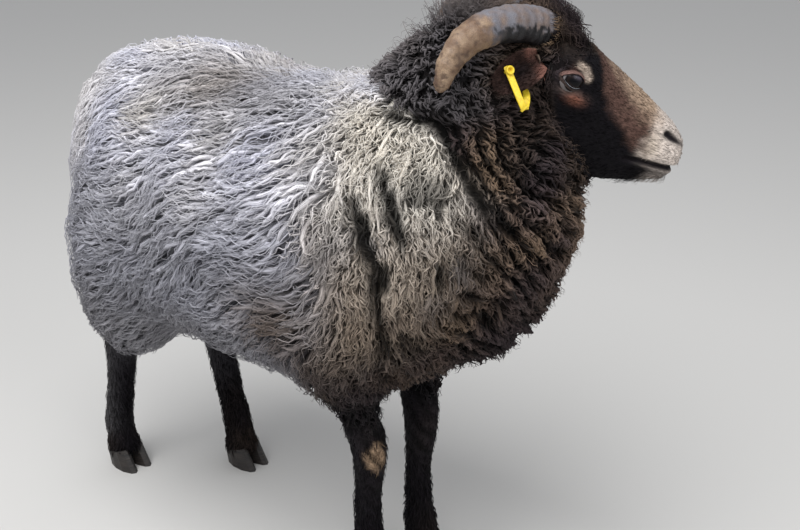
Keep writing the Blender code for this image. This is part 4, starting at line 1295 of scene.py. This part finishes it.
WOOLS = (
    # name, slot, seed, locks to a square metre at p;
    # ranges of length, half width, depth at rest, length of a wave and its size;
    # steps, thickness over width, share of the length that rises, spread of direction,
    # share of locks that lead a clump, pull towards them, share of the tint left at the root by
    # painted shade, contrast of fibres, gain of the tint, how far the lie is followed, how far the tips
    # hang
    ("under_fleece", "fleece_grey", 101, lambda p: 13000 * silver_density(p),
     (0.040, 0.058), (0.0020, 0.0040), (0.002, 0.008), (0.020, 0.028), (0.0008, 0.0018),
     6, 0.35, 0.45, 0.20, 0.25, 0.20, 0.90, 0.50, 0.96, 0.35, 0),
    ("fleece_strands", "fleece_grey", 102, lambda p: 22500 * silver_density(p),
     (0.036, 0.060), (0.00036, 0.00074), (-0.003, 0.005), (0.016, 0.025), (0.0010, 0.0025),
     10, 0.8, 0.35, 0.32, 0.09, 0.50, 0.88, 0.12, 1.05, 0.35, 0),
    ("shoulder_wool", "fleece_grey", 103, lambda p: 78000 * beige_density(p),
     (0.012, 0.022), (0.0007, 0.0015), (0.000, 0.005), (0.010, 0.015), (0.0009, 0.0022),
     5, 0.7, 0.6, 0.5, 0.16, 0.70, 0.55, 0.40, 1, 0.35, 0),
    ("shoulder_frizz", "fleece_grey", 104, lambda p: 46000 * beige_density(p),
     (0.011, 0.024), (0.00022, 0.00042), (-0.004, 0.002), (0.008, 0.013), (0.0010, 0.0028),
     6, 0.8, 0.7, 0.9, 0.2, 0.40, 0.55, 0.15, 1.25, 0.15, 0),
    ("shoulder_curls", "fleece_grey", 111,
     lambda p: 8000 * beige_density(p) * step(0.36, 0.44, p[..., 2]),
     (0.020, 0.040), (0.00035, 0.00070), (-0.006, 0.000), (0.010, 0.015), (0.0020, 0.0042),
     12, 0.8, 0.6, 0.7, 0.2, 0.40, 0.60, 0.15, 1.35, 0.15, 0),
    ("neck_wool", "fleece_dark", 105,
     lambda p: 60000 * woolly(p) * dark_share(p) * (1 - 0.7 * poll_share(p)),
     (0.010, 0.016), (0.0010, 0.0021), (-0.001, 0.004), (0.007, 0.011), (0.0008, 0.0020),
     5, 0.7, 0.6, 0.6, 0.14, 0.65, 0.12, 0.45, 1.3, 0.2, 0),
    ("neck_frizz", "fleece_dark", 106, lambda p: 34000 * woolly(p) * dark_share(p),
     (0.008, 0.015), (0.00020, 0.00040), (-0.005, 0.001), (0.006, 0.010), (0.0009, 0.0024),
     5, 0.8, 0.8, 1.0, 0.3, 0.35, 0.50, 0.20, 1.9, 0.1, 0),
    ("poll_wool", "fleece_dark", 107,
     lambda p: 120000 * poll_share(p) * crown(p) * step(-0.006, -0.022, in_head(p)[..., 0]),
     (0.018, 0.028), (0.0005, 0.0010), (-0.016, 0.000), (0.012, 0.018), (0.0006, 0.0014),
     6, 0.7, 0.75, 0.5, 0.2, 0.50, 0.25, 0.35, 1, 0.2, 0),
    ("crest_tufts", "fleece_dark", 112,
     lambda p: 1400000 * bump(p, (0.160, 0.026, 0.580), (0.016, 0.017, 0.030)),
     (0.018, 0.034), (0.00018, 0.00036), (-0.020, -0.002), (0.010, 0.014), (0.0010, 0.0026),
     6, 0.7, 0.75, 0.6, 0.1, 0.30, 0.50, 0.25, 1.6, 0.1, 0),
    ("brisket_tufts", "fleece_dark", 108, lambda p: 22000 * brisket_share(p),
     (0.026, 0.042), (0.0007, 0.0016), (0.000, 0.006), (0.014, 0.020), (0.0010, 0.0022),
     7, 0.6, 0.5, 0.4, 0.15, 0.70, 0.25, 0.40, 0.9, 0.35, 0.75),
    ("leg_shag", "fleece_grey", 109, lambda p: 19000 * stifle_share(p),
     (0.022, 0.038), (0.0005, 0.0012), (-0.002, 0.005), (0.014, 0.020), (0.0010, 0.0022),
     7, 0.6, 0.5, 0.45, 0.15, 0.60, 0.30, 0.40, 1, 0.35, 0.6))
for kind in WOOLS:
    grow_wool(*kind)


# ---------------------------------------------------------------- short hair
# Flat hair of a few millimetres on face, ears and lower legs, longer over the claws and
# on the crown. The skin's own bump shows it where it lies close; these fine tufts break
# its edges and its shine.
def short_tufts(name, density, length, half_width, lift, seed, gain=1.0, lie=lie_of_coat,
                tinted=tint_of, slot="face_hair"):
    """Two-step tufts from just under the skin along the lie, raised by about lift *
    length at the middle and by 0.7 of that at the tip; density is per square metre."""
    rng = np.random.default_rng(seed)
    root, out, spot = scatter(density, rng)
    count = len(root)
    way = unit(lie(root, out) + 0.22 * rng.standard_normal((count, 3)))
    way = unit(way - out * dot(way, out))
    run = (length[0] + (length[1] - length[0]) * rng.random(count))[:, None]
    rise = lift * (0.5 + rng.random(count))[:, None]
    start = root - out * 0.0006
    path = np.stack([start, start + run * (0.5 * way + rise * out),
                     start + run * (way + 0.7 * rise * out)], 1)
    ups = np.repeat(out[:, None], 3, 1)
    half = half_width[0] + (half_width[1] - half_width[0]) * rng.random(count)
    width = half[:, None] * np.array([0.8, 1.0, 0.2])
    tint = tinted(root) * gain * (0.7 + 0.6 * rng.random((count, 1)))
    material = leg_hair_tufts if slot == "leg_hair" else short_hair_tufts
    tubes(name, path, ups, width, 0.5 * width, spot, tint, material, rng)


short_hair_tufts = wool_material("short_hair_tufts", 0.55, 0.25, 0.6, 0.0)
leg_hair_tufts = wool_material("leg_hair_tufts", 0.60, 0.30, 0.6, 0.0)
eye_places = [(head_places - sided(EYE_CENTRE, side)) @ eye_axes(side) for side in SIDES.values()]
eye_gap = np.minimum(*[np.hypot(q[:, 0] / 0.0155, q[:, 1] / 0.0125) for q in eye_places])
lip_gap = np.minimum(curve_distance(folded(head_places), NOSTRIL),
                     curve_distance(sided(head_places, 0), MOUTH) - 0.0016)
bare = np.minimum(step(1.0, 1.15, eye_gap), step(0.0036, 0.0052, lip_gap))
near_face = face_share(skin_centres) * (skin_region == 1) * bare
on_legs = leg_share(skin_centres) * (skin_region == 0)
pastern = on_legs * step(0.160, 0.070, skin_centres[:, 2]) * step(0.018, 0.026, skin_centres[:, 2])
on_crown = (skin_region == 1) * poll_share(skin_centres) * crown(skin_centres)
short_tufts("face_tufts", 210000 * near_face, (0.0035, 0.0065), (0.00025, 0.00045), 0.14, seed=201)
short_tufts("leg_tufts", 72000 * on_legs, (0.006, 0.012), (0.0003, 0.0006), 0.16, seed=202,
            slot="leg_hair")
short_tufts("feather", 90000 * pastern, (0.010, 0.018), (0.0005, 0.0010), 0.15, seed=209,
            slot="leg_hair")
short_tufts("crown_hair", 900000 * on_crown, (0.012, 0.022), (0.00024, 0.00048), 0.55, seed=208, gain=1.2,
            lie=lambda p, out: 0 * p + HEAD_AXES @ np.array([-0.6, 0, 0.8]))
for number, label in enumerate(SIDES):
    short_tufts(f"ear_tufts_{label}", 190000 * (skin_region == 2 + number), (0.004, 0.008),
                (0.00022, 0.00042), 0.25, seed=204 + number, gain=1.25, tinted=ear_tint,
                lie=lambda p, out, label=label: 0 * p + ear_frame(label)[0][:, 0])

# a cuff of hairs that lie along the foot of each horn, a little above its surface
CUFF_DENSITY, CUFF_REACH = 420000.0, 0.026
CUFF_RISE = (-0.0006, 0.0012, 0.0018, 0.0006)
cuff_rng = np.random.default_rng(207)
for label, side in SIDES.items():
    horn_base = sided(HORN_LINE[1, :3], side)
    close = (skin_region == 1) * (np.linalg.norm(head_places - horn_base, axis=1) < CUFF_REACH)
    _, _, spot = scatter(close * CUFF_DENSITY, cuff_rng)
    rings = horn_rings(side)
    count = len(spot)
    first = cuff_rng.integers(0, int(0.13 * HORN_STEPS), count)
    length = cuff_rng.integers(int(0.03 * HORN_STEPS), int(0.07 * HORN_STEPS), count)
    drift = cuff_rng.integers(-1, 2, count)
    column = cuff_rng.integers(0, HORN_SIDES, count)
    outward = ring_normals(rings)[first, column]
    path = from_head(np.stack([
        rings[first + k * length // 3, (column + k // 2 * drift) % HORN_SIDES] + outward * rise
        for k, rise in enumerate(CUFF_RISE)], 1))
    ups = np.repeat((outward @ HEAD_AXES.T)[:, None], 4, 1)
    width = (0.0003 + 0.0004 * cuff_rng.random(count))[:, None] * np.array([0.8, 1.0, 0.8, 0.2])
    tan_edge = step(0.3, 0.9, outward[:, 0]) * (cuff_rng.random(count) > 0.3)
    tint = mix(np.full((count, 3), 1.6) * SOOT, TAN * 1.5, tan_edge)
    tubes(f"horn_cuff_{label}", path, ups, width, 0.5 * width, spot, tint, short_hair_tufts,
          cuff_rng)
chin = near_face * step(0.080, 0.098, along) * step(-0.044, -0.052, above)
short_tufts("chin_whiskers", 160000 * chin, (0.006, 0.011), (0.00018, 0.00032), 0.35, seed=203, gain=1.5)


# ---------------------------------------------------------------- floor, light and camera
# A plain pale floor and soft studio light: one broad lamp high on the animal's right, one
# weaker lamp from before its head, and a pale surround.
CAMERA_PLACE = (0.7388, -0.7489, 0.746)
CAMERA_TURN = math.radians(40)
CAMERA_DIP = math.radians(21.9)
FLOOR_HALF = 14.0

paper, _, paper_shader = new_material("paper_floor", 0.9)
plug(paper_shader, {"Base Color": (0.62, 0.61, 0.59, 1)})
floor = mesh_object("floor", np.array([(-1, -1, 0), (1, -1, 0), (1, 1, 0), (-1, 1, 0)]) * FLOOR_HALF,
                    np.array([[0, 1, 2, 3]]), paper, smooth=False)


def soft_lamp(name, place, aim, size, power):
    """A square area lamp at place that faces aim."""
    lamp = bpy.data.lights.new(name, "AREA")
    lamp.size = size
    lamp.energy = power
    made = bpy.data.objects.new(name, lamp)
    made.location = place
    made.rotation_euler = (Vector(aim) - Vector(place)).to_track_quat("-Z", "Y").to_euler()
    bpy.context.collection.objects.link(made)


soft_lamp("top_light", (0.15, -1.0, 2.25), (0, 0, 0.35), 1.8, 52)
soft_lamp("head_light", (2.0, -0.2, 1.6), (0.15, 0, 0.4), 1.2, 11)
world = bpy.data.worlds.new("surround")
world.use_nodes = True
plug(world.node_tree.nodes["Background"], {"Color": (0.86, 0.88, 0.92, 1), "Strength": 0.60})
bpy.context.scene.world = world
bpy.context.scene.view_settings.view_transform = "Standard"

lens = bpy.data.cameras.new("camera")
lens.lens = 50
lens.sensor_width = 36
camera = bpy.data.objects.new("camera", lens)
camera.location = CAMERA_PLACE
camera.rotation_euler = (math.pi / 2 - CAMERA_DIP, 0, CAMERA_TURN)
bpy.context.collection.objects.link(camera)
bpy.context.scene.camera = camera
